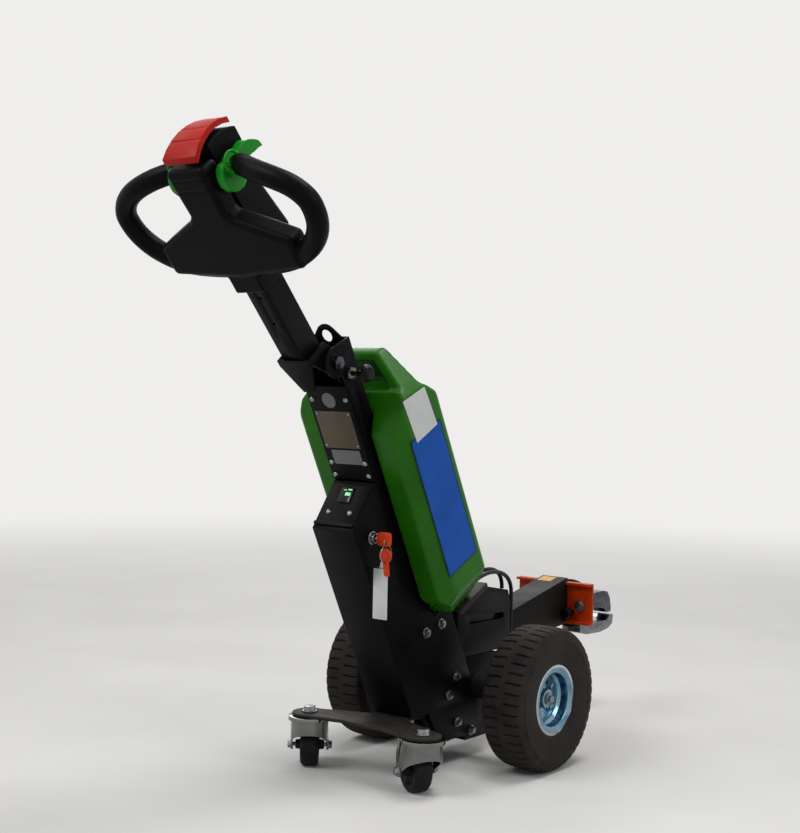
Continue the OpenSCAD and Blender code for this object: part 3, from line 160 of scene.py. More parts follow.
def plated(name, base, worn, rough, mark_mm, lip=None):
    """Zinc plating on steel: bright metal with slow tone changes and faint handling marks.
    A wheel rim also gives the lighter colour of its lip and the radii between which it starts."""
    material, tree, shader, place = start(name)
    marks = add(tree, "ShaderNodeTexNoise", Vector=place, Scale=per_mm(mark_mm), Detail=4.0,
                Roughness=0.55)
    tone = add(tree, "ShaderNodeValToRGB", stops=[(0.3, base), (0.7, worn)],
               Fac=marks.outputs["Fac"]).outputs["Color"]
    if lip:
        colour, start_mm, full_mm = lip
        across = add(tree, "ShaderNodeVectorMath", {"operation": "MULTIPLY"}, _0=place,
                     _1=(0.0, 1.0, 1.0))
        away = add(tree, "ShaderNodeVectorMath", {"operation": "DISTANCE"},
                   _0=across.outputs[0], _1=(0.0, 0.0, AXLE_Z * MM))
        near = add(tree, "ShaderNodeMapRange", Value=away.outputs["Value"],
                   From_Min=start_mm * MM, From_Max=full_mm * MM)
        tone = add(tree, "ShaderNodeMix", {"data_type": "RGBA"}, _0=near.outputs["Result"],
                   _6=tone, _7=linear(colour)).outputs[2]
    wear = add(tree, "ShaderNodeTexNoise", Vector=place, Scale=per_mm(mark_mm / 3), Detail=4.0,
               Roughness=0.6)
    gloss = add(tree, "ShaderNodeMapRange", Value=wear.outputs["Fac"], From_Min=0.3,
                From_Max=0.7, To_Min=rough[0], To_Max=rough[1])
    ripple = add(tree, "ShaderNodeTexNoise", Vector=place, Scale=per_mm(RIPPLE_MM), Detail=2.0)
    relief = add(tree, "ShaderNodeBump", Height=ripple.outputs["Fac"],
                 Distance=RIPPLE_DEPTH * MM)
    feed(tree, shader, Base_Color=tone, Roughness=gloss.outputs["Result"],
         Normal=relief.outputs["Normal"], Metallic=1.0)
    return material


DUST_DEPTH = 0.08


def dusted(name, base, dust, rough, grain_mm, patch_mm, shine):
    """Rubber or coated steel with floor dust caught in blotches and in a fine speckle."""
    material, tree, shader, place = start(name)
    speckle = add(tree, "ShaderNodeTexNoise", Vector=place, Scale=per_mm(grain_mm * 2),
                  Detail=4.0, Roughness=0.7)
    patches = add(tree, "ShaderNodeTexNoise", Vector=place, Scale=per_mm(patch_mm), Detail=5.0,
                  Roughness=0.6)
    lying = add(tree, "ShaderNodeMix", {"data_type": "FLOAT"}, _0=0.6,
                _2=speckle.outputs["Fac"], _3=patches.outputs["Fac"])
    tone = add(tree, "ShaderNodeValToRGB", stops=[(0.35, base), (0.68, dust)],
               Fac=lying.outputs[0])
    gloss = add(tree, "ShaderNodeMapRange", Value=lying.outputs[0], From_Min=0.35,
                From_Max=0.68, To_Min=rough[0], To_Max=rough[1])
    grain = add(tree, "ShaderNodeTexNoise", Vector=place, Scale=per_mm(grain_mm), Detail=3.0)
    relief = add(tree, "ShaderNodeBump", Height=grain.outputs["Fac"], Distance=DUST_DEPTH * MM)
    feed(tree, shader, Base_Color=tone.outputs["Color"], Roughness=gloss.outputs["Result"],
         Normal=relief.outputs["Normal"], Specular_IOR_Level=shine)
    return material


# Powder coat on folded steel: satin black with a fine orange peel
powder_black = moulded("powder_coated_steel_black", "#060607", "#0a0a0c", (0.34, 0.48), 1.6, 0.03,
                       shine=0.07)
# The same coat on the low parts, greyed by floor dust
powder_dusty = dusted("powder_coated_steel_dusty", "#090808", "#171412", (0.45, 0.65), 1.6, 50.0,
                      shine=0.1)
# The battery tray and the caster bar: floor dust in blotches, over a lighter grey base tone that
# is painted reflection of overhead light on the tray's glossy black top
powder_dust_and_reflection = dusted("powder_coated_steel_worn", "#141211", "#322d27", (0.5, 0.7), 1.8, 30.0,
                     shine=0.2)
# Orange powder coat of the hitch plate, a little uneven in tone
powder_orange = moulded("powder_coated_steel_orange", "#a42c02", "#b63806", (0.3, 0.45), 1.4, 0.03,
                        shine=0.1)
# Spark-eroded ABS of the tiller head: nearly black, dull, with a fine leathery grain
abs_black = moulded("textured_abs_black", "#060608", "#0a0a0d", (0.36, 0.48), 0.9, 0.05,
                    shine=0.06)
# Rotation-moulded polyethylene of the battery: glossy leaf green, slightly wavy skin
battery_pe = moulded("rotomoulded_polyethylene_green", "#1d5c08", "#286c0e", (0.2, 0.3), 30.0,
                     0.15, patch_mm=110.0, shine=0.14)
# Glass-filled nylon of levers and button, bright green and glossy
nylon_green = moulded("moulded_nylon_green", "#0b7d12", "#128c1c", (0.22, 0.32), 3.0, 0.03,
                      shine=0.22)
# Red switch pad: satin moulded ABS
abs_red = moulded("moulded_abs_red", "#a81b13", "#b6241b", (0.32, 0.44), 1.2, 0.04, shine=0.1)
# Red plastic heads of the keys, smooth and a little orange
key_red = moulded("moulded_key_head_red", "#c4330f", "#d4441f", (0.25, 0.35), 3.0, 0.02,
                  shine=0.2)
# Black knobs and housings: phenolic moulding, smooth
phenolic_black = moulded("phenolic_black", "#08080a", "#0f0f11", (0.2, 0.32), 3.0, 0.02,
                         shine=0.12)
# Film over the control panel: flat satin black
panel_film = moulded("panel_film_black", "#0a0a0c", "#0f0f12", (0.36, 0.46), 0.8, 0.02, shine=0.1)
# Tyre rubber: brownish charcoal with a bloom of dust; the casters' is darker and harder
tyre_rubber = dusted("tyre_rubber", "#181616", "#332e2b", (0.62, 0.8), 1.5, 40.0, shine=0.12)
caster_rubber = dusted("caster_rubber", "#0e0d0f", "#1d1b1c", (0.45, 0.62), 1.5, 18.0,
                       shine=0.15)
# Cable sheath: soft PVC, black with a low sheen
cable_pvc = moulded("cable_sheath_pvc", "#08080a", "#0f0f11", (0.35, 0.5), 2.0, 0.02, shine=0.2)
# Black painted casting of the gearbox, rough from the mould
cast_black = moulded("painted_casting_black", "#0c0c0d", "#141415", (0.5, 0.65), 2.2, 0.12,
                     shine=0.12)
# Painted housings of the motor and its brake: even dark grey
motor_paint = moulded("painted_motor_housing", "#121315", "#1b1c1f", (0.4, 0.55), 1.4, 0.04,
                      shine=0.15)
# Vinyl labels with nothing on them: flat, even colour; the white one is on the key tag too
vinyl_white = moulded("label_vinyl_white", "#c6c8c9", "#d4d6d6", (0.3, 0.45), 2.0, 0.01,
                      shine=0.2)
vinyl_blue = moulded("label_vinyl_blue", "#0f4aa0", "#1554ae", (0.28, 0.4), 2.0, 0.01, shine=0.1)
vinyl_navy = moulded("label_border_navy", "#06142c", "#0a1b38", (0.3, 0.42), 2.0, 0.01,
                     shine=0.1)
vinyl_yellow = moulded("label_vinyl_yellow", "#b8860a", "#c89614", (0.3, 0.45), 2.0, 0.01,
                       shine=0.1)
# Silvered label film and etched aluminium: grey and warm grey, partly metallic
vinyl_silver = moulded("label_film_silver", "#565658", "#666669", (0.25, 0.4), 2.0, 0.01,
                       metallic=0.3)
plate_etched = moulded("etched_aluminium_plate", "#443b2a", "#544936", (0.3, 0.45), 1.5, 0.02,
                       metallic=0.4)
# Bright zinc on the caster forks, lock and rings; duller on bolts and on the hook
zinc_bright = plated("zinc_plated_steel", "#6c6d6d", "#868785", (0.08, 0.15), 45.0)
zinc_dull = plated("zinc_plated_bolt", "#74777a", "#9a9d9e", (0.24, 0.38), 5.0)
zinc_hook = plated("zinc_plated_hook", "#5a5e61", "#84888a", (0.16, 0.28), 16.0)
# Blue passivated zinc on the pressed wheels, its rim lighter and whiter along the lip
zinc_blue = plated("blue_zinc_plated_hub", "#5f7d92", "#8aa3b2", (0.14, 0.26), 20.0)
zinc_rim = plated("blue_zinc_plated_rim", "#557a94", "#86a5b6", (0.12, 0.24), 20.0,
                  lip=("#b4babd", 57.0, 61.0))
# Dark passivated zinc of the pivot bolt and the hitch latch
zinc_dark = plated("dark_zinc_bolt", "#303338", "#50545a", (0.2, 0.32), 12.0)
# Turned steel with a thin oil film: bushes and the plunger's sleeve
steel_grey = plated("turned_steel", "#5c5a55", "#86837b", (0.24, 0.36), 6.0)
# Gauge lens: black and glassy
lens_dark = moulded("gauge_lens", "#060607", "#0a0a0b", (0.1, 0.16), 4.0, 0.0, shine=0.3)


def lit(name, colour, core, power):
    """A lit light-emitting bar behind its lens, in random patches of a paler core colour."""
    material, tree, shader, place = start(name)
    patches = add(tree, "ShaderNodeTexNoise", Vector=place, Scale=per_mm(3.0))
    glow = add(tree, "ShaderNodeValToRGB", stops=[(0.35, colour), (0.9, core)],
               Fac=patches.outputs["Fac"]).outputs["Color"]
    feed(tree, shader, Base_Color=glow, Emission_Color=glow, Emission_Strength=power)
    return material


led_green = lit("gauge_led_green", "#4fd070", "#d8ffe0", 0.9)


# CAD nodes that keep their own shape: finish, rounded edges, smooth curves

EDGE_ANGLE = math.radians(28)
EDGE_STEPS = 2
WELD_GAP = 0.01
FLAT_ANGLE = math.radians(0.5)


def soften(piece, edge_mm):
    """Rounds the sharp edges of a piece by edge_mm and smooths the rest."""
    for face in piece.data.polygons:
        face.use_smooth = True
    weld = piece.modifiers.new("weld", "WELD")
    weld.merge_threshold = WELD_GAP * MM
    flat = piece.modifiers.new("flat_faces", "DECIMATE")
    flat.decimate_type = "DISSOLVE"
    flat.angle_limit = FLAT_ANGLE
    round_off = piece.modifiers.new("edges", "BEVEL")
    round_off.width = edge_mm * MM
    round_off.segments = EDGE_STEPS
    round_off.limit_method = "ANGLE"
    round_off.angle_limit = EDGE_ANGLE
    round_off.harden_normals = True
    round_off.use_clamp_overlap = True


def finish_node(node, material, edge_mm):
    """Gives a CAD node its finish and its edge radius."""
    piece = NODES[node]
    piece.data.materials.clear()
    piece.data.materials.append(material)
    soften(piece, edge_mm)


FINISHES = [
    (powder_black, 1.2, "column_frame front_plate lower_cover tiller_bracket tiller_tube"),
    (powder_dusty, 1.0, "drive_cover tow_arm hitch_flange"),
    # battery tray and caster bar: dust, with painted reflection in their lighter base tone
    (powder_dust_and_reflection, 1.0, "battery_tray caster_plate"),
    (powder_orange, 1.0, "hitch_plate"),
    (plate_etched, 0.2, "type_plate"),
    (panel_film, 0.8, "control_panel"),
    (zinc_dull, 0.4, "front_screws side_bolts hitch_plate_bolts latch_pin"),
    (zinc_dull, 0.4, "caster_plate_bolts caster_left_stem caster_left_axle"),
    (zinc_dull, 0.4, "caster_right_stem caster_right_axle wheel_left_shaft wheel_right_shaft"),
    (zinc_bright, 0.5, "key_switch"),
    (zinc_hook, 2.5, "hitch_hook"),
    (zinc_dark, 3.0, "hitch_latch"),
    (zinc_bright, 1.0, "caster_left_fork caster_right_fork"),
    (zinc_blue, 0.6, "wheel_left_hub wheel_right_hub"),
    (zinc_rim, 0.6, "wheel_left_rim wheel_right_rim"),
    (caster_rubber, 0.6, "caster_left_wheel caster_right_wheel"),
    (phenolic_black, 0.8, "battery_socket controller index_plunger pull_knob"),
    (cable_pvc, 0.2, "battery_cable motor_cable"),
    (cast_black, 1.5, "gearbox"),
    (motor_paint, 1.5, "drive_motor motor_brake"),
    (zinc_dark, 0.6, "pivot_bolt"),
    (steel_grey, 0.4, "pivot_bushes index_sleeve"),
    (abs_red, 1.2, "belly_switch"),
    (nylon_green, 1.5, "horn_button"),
]
for finish, edge, names in FINISHES:
    for name in names.split():
        finish_node(name, finish, edge)


# Frames of the leaning column and of the tiller: x across, y rearward, z up along them

JOINTS = {joint["name"]: joint for joint in frame["joints"]}
COLUMN_LEAN = math.radians(27)
TILLER_LEAN = COLUMN_LEAN + math.radians(14)
COLUMN_FOOT = Vector((0.0, -52 * MM, 0.0))
COLUMN = Matrix.Translation(COLUMN_FOOT) @ Matrix.Rotation(COLUMN_LEAN, 4, "X")
TILLER = (Matrix.Translation(Vector(JOINTS["tiller_tilt"]["pos_m"]))
          @ Matrix.Rotation(TILLER_LEAN, 4, "X"))
LEFT_AND_RIGHT = (-1, 1)


# Mesh tools. Shapes are drawn in millimetres in a local frame and placed by a matrix

CORNER_STEPS = 5
CORNER_SHARE = 0.45


def rounded(outline, radius):
    """Outline with each corner turned into an arc of about radius."""
    points = []
    count = len(outline)
    for i, corner in enumerate(outline):
        here = Vector(corner[:2])
        r = corner[2] if len(corner) > 2 else radius
        to_last = Vector(outline[i - 1][:2]) - here
        to_next = Vector(outline[(i + 1) % count][:2]) - here
        reach = min(r, to_last.length * CORNER_SHARE, to_next.length * CORNER_SHARE)
        a = here + to_last.normalized() * reach
        b = here + to_next.normalized() * reach
        for k in range(CORNER_STEPS + 1):
            t = k / CORNER_STEPS
            points.append((1 - t) ** 2 * a + 2 * t * (1 - t) * here + t * t * b)
    return points


def slab(mesh, outline, low, high, across):
    """Adds the outline, drawn in the two other axes, from low to high along across."""
    def spot(p, depth):
        return {"x": (depth, p[0], p[1]), "y": (p[0], depth, p[1]),
                "z": (p[0], p[1], depth)}[across]
    rims = [[mesh.verts.new(spot(p, depth)) for p in outline] for depth in (low, high)]
    count = len(outline)
    mesh.faces.new(rims[0])
    mesh.faces.new(reversed(rims[1]))
    for i in range(count):
        j = (i + 1) % count
        mesh.faces.new((rims[0][j], rims[0][i], rims[1][i], rims[1][j]))


def tube(mesh, path, radius, sides):
    """Adds a round tube along the points of path."""
    points = [Vector(p) for p in path]
    last = len(points) - 1
    rings = []
    side = None
    for i, point in enumerate(points):
        ahead = (points[min(i + 1, last)] - points[max(i - 1, 0)]).normalized()
        if side is None:
            side = ahead.orthogonal().normalized()
        side = (side - ahead * side.dot(ahead)).normalized()
        over = ahead.cross(side)
        rings.append([mesh.verts.new(point + radius * (
            side * math.cos(2 * math.pi * k / sides) + over * math.sin(2 * math.pi * k / sides)))
            for k in range(sides)])
    for a, b in zip(rings, rings[1:]):
        for k in range(sides):
            n = (k + 1) % sides
            mesh.faces.new((a[k], a[n], b[n], b[k]))
    mesh.faces.new(reversed(rings[0]))
    mesh.faces.new(rings[-1])


def spline(points, fine):
    """Smooth curve through the points."""
    points = [Vector(p) for p in points]
    ends = [2 * points[0] - points[1]] + points + [2 * points[-1] - points[-2]]
    curve = []
    for a, b, c, d in zip(ends, ends[1:], ends[2:], ends[3:]):
        for k in range(fine):
            t = k / fine
            curve.append(0.5 * (2 * b + t * (c - a) + t * t * (2 * a - 5 * b + 4 * c - d)
                                + t ** 3 * (3 * b - a - 3 * c + d)))
    return curve + [points[-1]]


def build(name, mesh, place, material, body, smooth=True):
    """Turns a drawing in millimetres into a piece that rides on a body."""
    bmesh.ops.recalc_face_normals(mesh, faces=mesh.faces)
    mesh.transform(place @ Matrix.Scale(MM, 4))
    data = bpy.data.meshes.new(name)
    mesh.to_mesh(data)
    mesh.free()
    data.materials.append(material)
    for face in data.polygons:
        face.use_smooth = smooth
    piece = bpy.data.objects.new(name, data)
    bpy.context.scene.collection.objects.link(piece)
    if body:
        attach(piece, body)
    return piece


def settle(piece):
    """Makes the result of a piece's modifiers its own mesh."""
    bpy.context.view_layer.update()
    seen = piece.evaluated_get(bpy.context.evaluated_depsgraph_get())
    done = bpy.data.meshes.new_from_object(seen)
    piece.modifiers.clear()
    piece.data = done
    for face in done.polygons:
        face.use_smooth = True


CALM_SHARE = 0.5


def melt(piece, voxel_mm, passes):
    """Joins the overlapping forms of a piece into one skin and softens their meetings."""
    skin = piece.modifiers.new("skin", "REMESH")
    skin.mode = "VOXEL"
    skin.voxel_size = voxel_mm * MM
    calm = piece.modifiers.new("calm", "SMOOTH")
    calm.factor = CALM_SHARE
    calm.iterations = passes
    settle(piece)


RIM_STEPS = 3


def circle(x, y, radius, count):
    """Points round a circle in a plane."""
    return [(x + radius * math.cos(2 * math.pi * k / count),
             y + radius * math.sin(2 * math.pi * k / count)) for k in range(count)]


def bevelled_slab(mesh, outline, low, high, across, edge):
    """A slab whose two rims are rounded by edge."""
    own = bmesh.new()
    slab(own, outline, low, high, across)
    axis = "xyz".index(across)
    rims = [e for e in own.edges
            if abs(e.verts[0].co[axis] - e.verts[1].co[axis]) < 1e-6]
    bmesh.ops.bevel(own, geom=rims, offset=edge, segments=RIM_STEPS, profile=0.5,
                    affect="EDGES", clamp_overlap=True)
    data = bpy.data.meshes.new("part")
    own.to_mesh(data)
    own.free()
    mesh.from_mesh(data)
    bpy.data.meshes.remove(data)


def lathe(mesh, profile, place, sides):
    """Adds the turned form of (distance along, radius) points, round the x axis of place."""
    rings = []
    for along, radius in profile:
        rings.append([mesh.verts.new(place @ Vector((
            along, radius * math.cos(2 * math.pi * k / sides),
            radius * math.sin(2 * math.pi * k / sides)))) for k in range(sides)])
    for a, b in zip(rings, rings[1:]):
        for k in range(sides):
            n = (k + 1) % sides
            mesh.faces.new((a[k], a[n], b[n], b[k]))
    mesh.faces.new(reversed(rings[0]))
    mesh.faces.new(rings[-1])


# Mouldings: a CAD node's solid, taken into a local frame where its flat faces lie along the
# axes, and made into one softly rounded skin

SAME_SPOT = 0.001


def remould(name, node, place, material, body, voxel_mm, passes, after=None):
    """A softly moulded stand-in for a CAD node; after shapes its points in millimetres."""
    mesh = bmesh.new()
    mesh.from_mesh(NODES[node].data)
    mesh.transform(Matrix.Scale(1 / MM, 4) @ place.inverted())
    bmesh.ops.remove_doubles(mesh, verts=mesh.verts, dist=SAME_SPOT)
    piece = build(name, mesh, Matrix(), material, None)
    melt(piece, voxel_mm, passes)
    if after:
        normals = [vertex.normal.copy() for vertex in piece.data.vertices]
        for vertex, normal in zip(piece.data.vertices, normals):
            vertex.co = after(vertex.co / MM, normal) * MM
    piece.data.transform(place)
    piece.data.update()
    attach(piece, body)
    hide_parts(node)


def cut_line(distance, half_mm, depth_mm):
    """Depth of a groove at a distance from its middle."""
    share = min(1.0, abs(distance) / half_mm)
    return depth_mm * (1 - share * share) ** 2


# Tiller head: front moulding with both loops, and the rear cover

HEAD_FACE = -24
SEAM_REACH = 40
HEAD_SEAMS = (390, 371)
HEAD_VOXEL = 1.7
HEAD_PASSES = 5
SEAM_HALF = 1.8
SEAM_DEEP = 1.3


def head_relief(point, normal):
    """Two fine seams across the face of the head."""
    deep = 0.0
    if point.y < HEAD_FACE and abs(point.x) < SEAM_REACH:
        deep = sum(cut_line(point.z - seam, SEAM_HALF, SEAM_DEEP) for seam in HEAD_SEAMS)
    return point - normal * deep


remould("head_moulding", "head_base", TILLER, abs_black, "tiller", HEAD_VOXEL, HEAD_PASSES,
        after=head_relief)
remould("rear_cover", "head_cover", TILLER, abs_black, "tiller", HEAD_VOXEL, HEAD_PASSES)


# Pneumatic tyres: two rows of cross slots on the tread and notches on the shoulders

TYRE_R = 130
TREAD_SLOTS = 44
SLOT_SPAN = (4.5, 37.5)
SLOT_DEEP = 5.0
SLOT_HALF_W = 2.3
SLOT_FLOOR = 0.45
SLOT_WAVE = 0.5
SLOT_BEND = 4.2
SLOT_RAMP = 6
NOTCH_DEEP = 1.8
ROW_SHIFT = 0.5
CUT_FROM_R = 115
CROWN_HALF_W = 42.0
CROWN_LOW = 0.8
CROWN_FALL = 1.6
SHOULDER_FALL = 7.5
STEPS_PER_SLOT = 20
TYRE_STEPS = TREAD_SLOTS * STEPS_PER_SLOT
TYRE_WALL = [(52, 29.5), (58, 34.5), (63, 35.4), (65, 36.6), (67, 37.4), (74, 38.6), (82, 40.0),
             (90, 41.2), (98, 42.0), (104, 42.3), (106, 43.0), (108, 43.2), (110, 42.6),
             (112, 41.6), (116, 41.0), (120, 39.6)]
TREAD_LATERALS = [39.0, 37.6, 37, 35.6, *range(34, 6, -2), 6.5, 5, 4, 3, 2, 1, 0]


def crown(lateral):
    """Radius of the tread at a distance from the middle of the tyre."""
    share = abs(lateral) / CROWN_HALF_W
    return TYRE_R - CROWN_LOW - CROWN_FALL * share ** 2 - SHOULDER_FALL * share ** 8


def slot_depth(lateral, turn):
    """How deep the tread is cut at a lateral place and a turn counted in slots."""
    row = 0 if lateral > 0 else ROW_SHIFT
    if abs(lateral) > SLOT_SPAN[1]:
        return NOTCH_DEEP * max(0.0, math.cos(2 * math.pi * (turn + row - 0.5))) ** 2
    low, high = SLOT_SPAN
    along = (abs(lateral) - (low + high) / 2) / ((high - low) / 2)
    if abs(along) >= 1:
        return 0.0
    pitch = 2 * math.pi * TYRE_R / TREAD_SLOTS
    wave = SLOT_WAVE * math.sin(along * SLOT_BEND)
    off = abs(((turn + row) % 1.0 - 0.5) * pitch + wave)
    half = SLOT_HALF_W * (1 - along ** 4) ** 0.5
    out = (off - half * SLOT_FLOOR) / (half * (1 - SLOT_FLOOR) + 1e-6)
    edge = 1.0 - min(1.0, max(0.0, out))
    return SLOT_DEEP * edge * edge * (3 - 2 * edge) * min(1.0, (1 - abs(along)) * SLOT_RAMP)


def tyre(side):
    """One drive tyre, turned from its profile with the tread cut in."""
    half = TYRE_WALL + [(crown(x), x) for x in TREAD_LATERALS]
    profile = half + [(r, -x) for r, x in reversed(half[:-1])]
    mesh = bmesh.new()
    rings = []
    for i in range(TYRE_STEPS):
        angle = 2 * math.pi * i / TYRE_STEPS
        turn = TREAD_SLOTS * i / TYRE_STEPS
        ring = []
        for r, x in profile:
            cut = slot_depth(x, turn) if r > CUT_FROM_R else 0.0
            ring.append(mesh.verts.new((x, (r - cut) * math.sin(angle),
                                        (r - cut) * math.cos(angle))))
        rings.append(ring)
    for a, b in zip(rings, rings[1:] + rings[:1]):
        for k in range(len(profile) - 1):
            mesh.faces.new((a[k], a[k + 1], b[k + 1], b[k]))
        mesh.faces.new((a[-1], a[0], b[0], b[-1]))
    word = "left" if side < 0 else "right"
    wheel = Vector(JOINTS["wheel_" + word + "_turn"]["pos_m"])
    piece = build(word + "_tyre", mesh, Matrix.Translation(wheel), tyre_rubber, "wheel_" + word)
    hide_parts("wheel_" + word + "_tyre")


for side in LEFT_AND_RIGHT:
    tyre(side)


# Battery: a rotation-moulded case with soft edges

CASE_VOXEL = 2.1
CASE_PASSES = 30
remould("battery_shell", "battery_case", COLUMN, battery_pe, "battery", CASE_VOXEL, CASE_PASSES)


# Labels and stickers, left blank: thin films on the surface that carries them

FILM = 0.35
CASE_SIDE = 115
BLUE_LABEL = [(37, 648), (127, 648), (127, 383), (37, 383)]
BLUE_BORDER = 2.0
WHITE_LABEL = [(46.6, 718.5), (110.2, 715.5), (116.4, 641.5), (53.0, 638.8)]
SILVER_LABEL = [(-29, 648), (33, 648), (33, 621), (-29, 621)]
DISC_AT = (0, 742)
DISC_R = 14
ARM_SLOPE_FROM = (112.3, 250)
ARM_SLOPE_TO = (343.7, 300)
YELLOW_STICKER = [(-25, -32), (7, -32), (7, -6), (-25, -6)]


def film(name, outline, base, across, place, material, body, corner):
    """A thin flat label on a face at base along across."""
    mesh = bmesh.new()
    slab(mesh, rounded(outline, corner), base, base + FILM, across)
    build(name, mesh, place, material, body, smooth=False)


def inset(outline, by):
    """An upright rectangle drawn in by a border."""
    ys, zs = [p[0] for p in outline], [p[1] for p in outline]
    return [(min(ys) + by, max(zs) - by), (max(ys) - by, max(zs) - by),
            (max(ys) - by, min(zs) + by), (min(ys) + by, min(zs) + by)]


film("blue_label_border", BLUE_LABEL, CASE_SIDE, "x", COLUMN, vinyl_navy, "battery", 4)
film("blue_label", inset(BLUE_LABEL, BLUE_BORDER), CASE_SIDE + FILM / 2, "x", COLUMN,
     vinyl_blue, "battery", 3)
film("white_label", WHITE_LABEL, CASE_SIDE + FILM, "x", COLUMN, vinyl_white, "battery", 1)
film("silver_label", SILVER_LABEL, -FILM, "y", COLUMN, vinyl_silver, "chassis", 2)
film("round_sticker", circle(*DISC_AT, DISC_R, 32), -FILM, "y", COLUMN, vinyl_silver, "chassis",
     0.1)

arm_rise = math.atan2(ARM_SLOPE_TO[1] - ARM_SLOPE_FROM[1], ARM_SLOPE_TO[0] - ARM_SLOPE_FROM[0])
ARM_END = (Matrix.Translation((0, ARM_SLOPE_TO[0] * MM, ARM_SLOPE_TO[1] * MM))
           @ Matrix.Rotation(arm_rise, 4, "X"))
film("arm_sticker", YELLOW_STICKER, 0, "z", ARM_END, vinyl_yellow, "chassis", 1)


# Small fittings: rivets of the type plate, the gauge's lens and lit bars

PLATE_FACE = -1.2
RIVET_R = 2.3
RIVET_SPOTS = [(-34, 717), (34, 717), (-34, 657), (34, 657)]
RIVET_DOME = [(-0.5, 1.0), (0.4, 1.0), (0.9, 0.75), (1.2, 0.3)]
FACING_OUT = Matrix.Rotation(math.radians(-90), 4, "Z")


def rivets():
    """Dome rivets in the corners of the type plate."""
    mesh = bmesh.new()
    for x, t in RIVET_SPOTS:
        at = Matrix.Translation((x, PLATE_FACE, t)) @ FACING_OUT
        lathe(mesh, [(along, RIVET_R * share) for along, share in RIVET_DOME], at, 16)
    build("plate_rivets", mesh, COLUMN, zinc_dull, "chassis")


rivets()

# The sloping panel's frame: x across, y up the slope, z out of its face
PANEL_TOP = 587
PANEL_SLOPE = math.radians(28.18)
PANEL = (COLUMN @ Matrix.Translation((0, 0, PANEL_TOP * MM))
         @ Matrix.Rotation(PANEL_SLOPE, 4, "X"))
GAUGE_LOW = 3.3
GAUGE_TOP = 5.2
GAUGE_RIM = [(-13, -14), (13, -14), (13, -44), (-13, -44)]
GAUGE_EDGE = 0.7
BAR_SUNK = 0.2
BAR_PROUD = 0.1
GAUGE_BARS = [((-2, -25), (9, -31)), ((-8, -19.5), (-2, -21)), ((1, -18), (9, -20.5))]


def gauge():
    """The gauge's dark lens on the sloping panel, with its lit bars."""
    lens = bmesh.new()
    bevelled_slab(lens, rounded(GAUGE_RIM, 2), GAUGE_LOW, GAUGE_TOP, "z", GAUGE_EDGE)
    face = build("gauge_lens", lens, PANEL, lens_dark, "chassis")
    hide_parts("battery_gauge")
    bars = bmesh.new()
    for (left, high), (right, low) in GAUGE_BARS:
        slab(bars, [(left, high), (right, high), (right, low), (left, low)],
             GAUGE_TOP - BAR_SUNK, GAUGE_TOP + BAR_PROUD, "z")
    build("gauge_bars", bars, PANEL, led_green, "chassis", smooth=False)


gauge()


# Keys: the lock's own key, and a split ring with the spare key and a blank tag

KEY_AT = Vector(JOINTS["key_turn"]["pos_m"])
RING_AT = Vector(JOINTS["fob_swing"]["pos_m"])
RING_R = 15
RING_DROP = -11.5
LINK_R = 6
LINK_DROP = 7.5
RING_WIRE = 0.8
RING_TURNS = 1.9
RING_RISE = 1.5
RING_STEPS = 36
KEY_HEAD = [(2, -6.5, 2), (2, 6.5, 2), (7, 11.5, 3), (31, 11.5, 4), (31, -11.5, 4),
            (7, -11.5, 3)]
KEY_HALF = 2.1
KEY_EDGE = 1.2
KEY_SHANK = [(-8, 3.6), (1.5, 3.6), (2.4, 3.2)]
SPARE_R = 13
SPARE_DROP = -14
SPARE_HEAD_Y = (-2.4, 0.4)
SPARE_SHANK = [(-5, -22), (6, -22), (9, -48), (-2, -48)]
SPARE_SHANK_Y = (-2.2, 0.2)
SPARE_EDGE = 0.9
SHANK_EDGE = 0.8
SPARE_RIM_R = 0.82 * SPARE_R
SPARE_RIM_Y = -2.5
SPARE_RIM_WIRE = 0.7
TAG_OUTLINE = [(-27, -37, 2), (-15, -37, 3), (-12, -24, 5), (-4, -24, 5), (-3, -37, 3),
               (3, -37, 2), (3, -122, 2), (-27, -122, 2)]
TAG_Y = (1.4, 2.5)
TAG_EDGE = 0.3


def ring_coil(mesh, radius, drop):
    """Adds a split ring: a flat coil of almost two turns in the plane across x."""
    path = []
    count = int(RING_STEPS * RING_TURNS)
    for i in range(count + 1):
        angle = 2 * math.pi * RING_TURNS * i / count
        path.append((RING_RISE * (i / count - 0.5), radius * math.sin(angle),
                     drop + radius * math.cos(angle)))
    tube(mesh, path, RING_WIRE, 10)


def ignition_key():
    """Red moulded head of the key in the lock, on a short bright shank."""
    mesh = bmesh.new()
    bevelled_slab(mesh, rounded(KEY_HEAD, 3), -KEY_HALF, KEY_HALF, "y", KEY_EDGE)
    place = Matrix.Translation(KEY_AT)
    head = build("key_head", mesh, place, key_red, "key")
    shank = bmesh.new()
    lathe(shank, KEY_SHANK, Matrix(), 20)
    build("key_shank", shank, place, zinc_bright, "key")
    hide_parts("ignition_key")


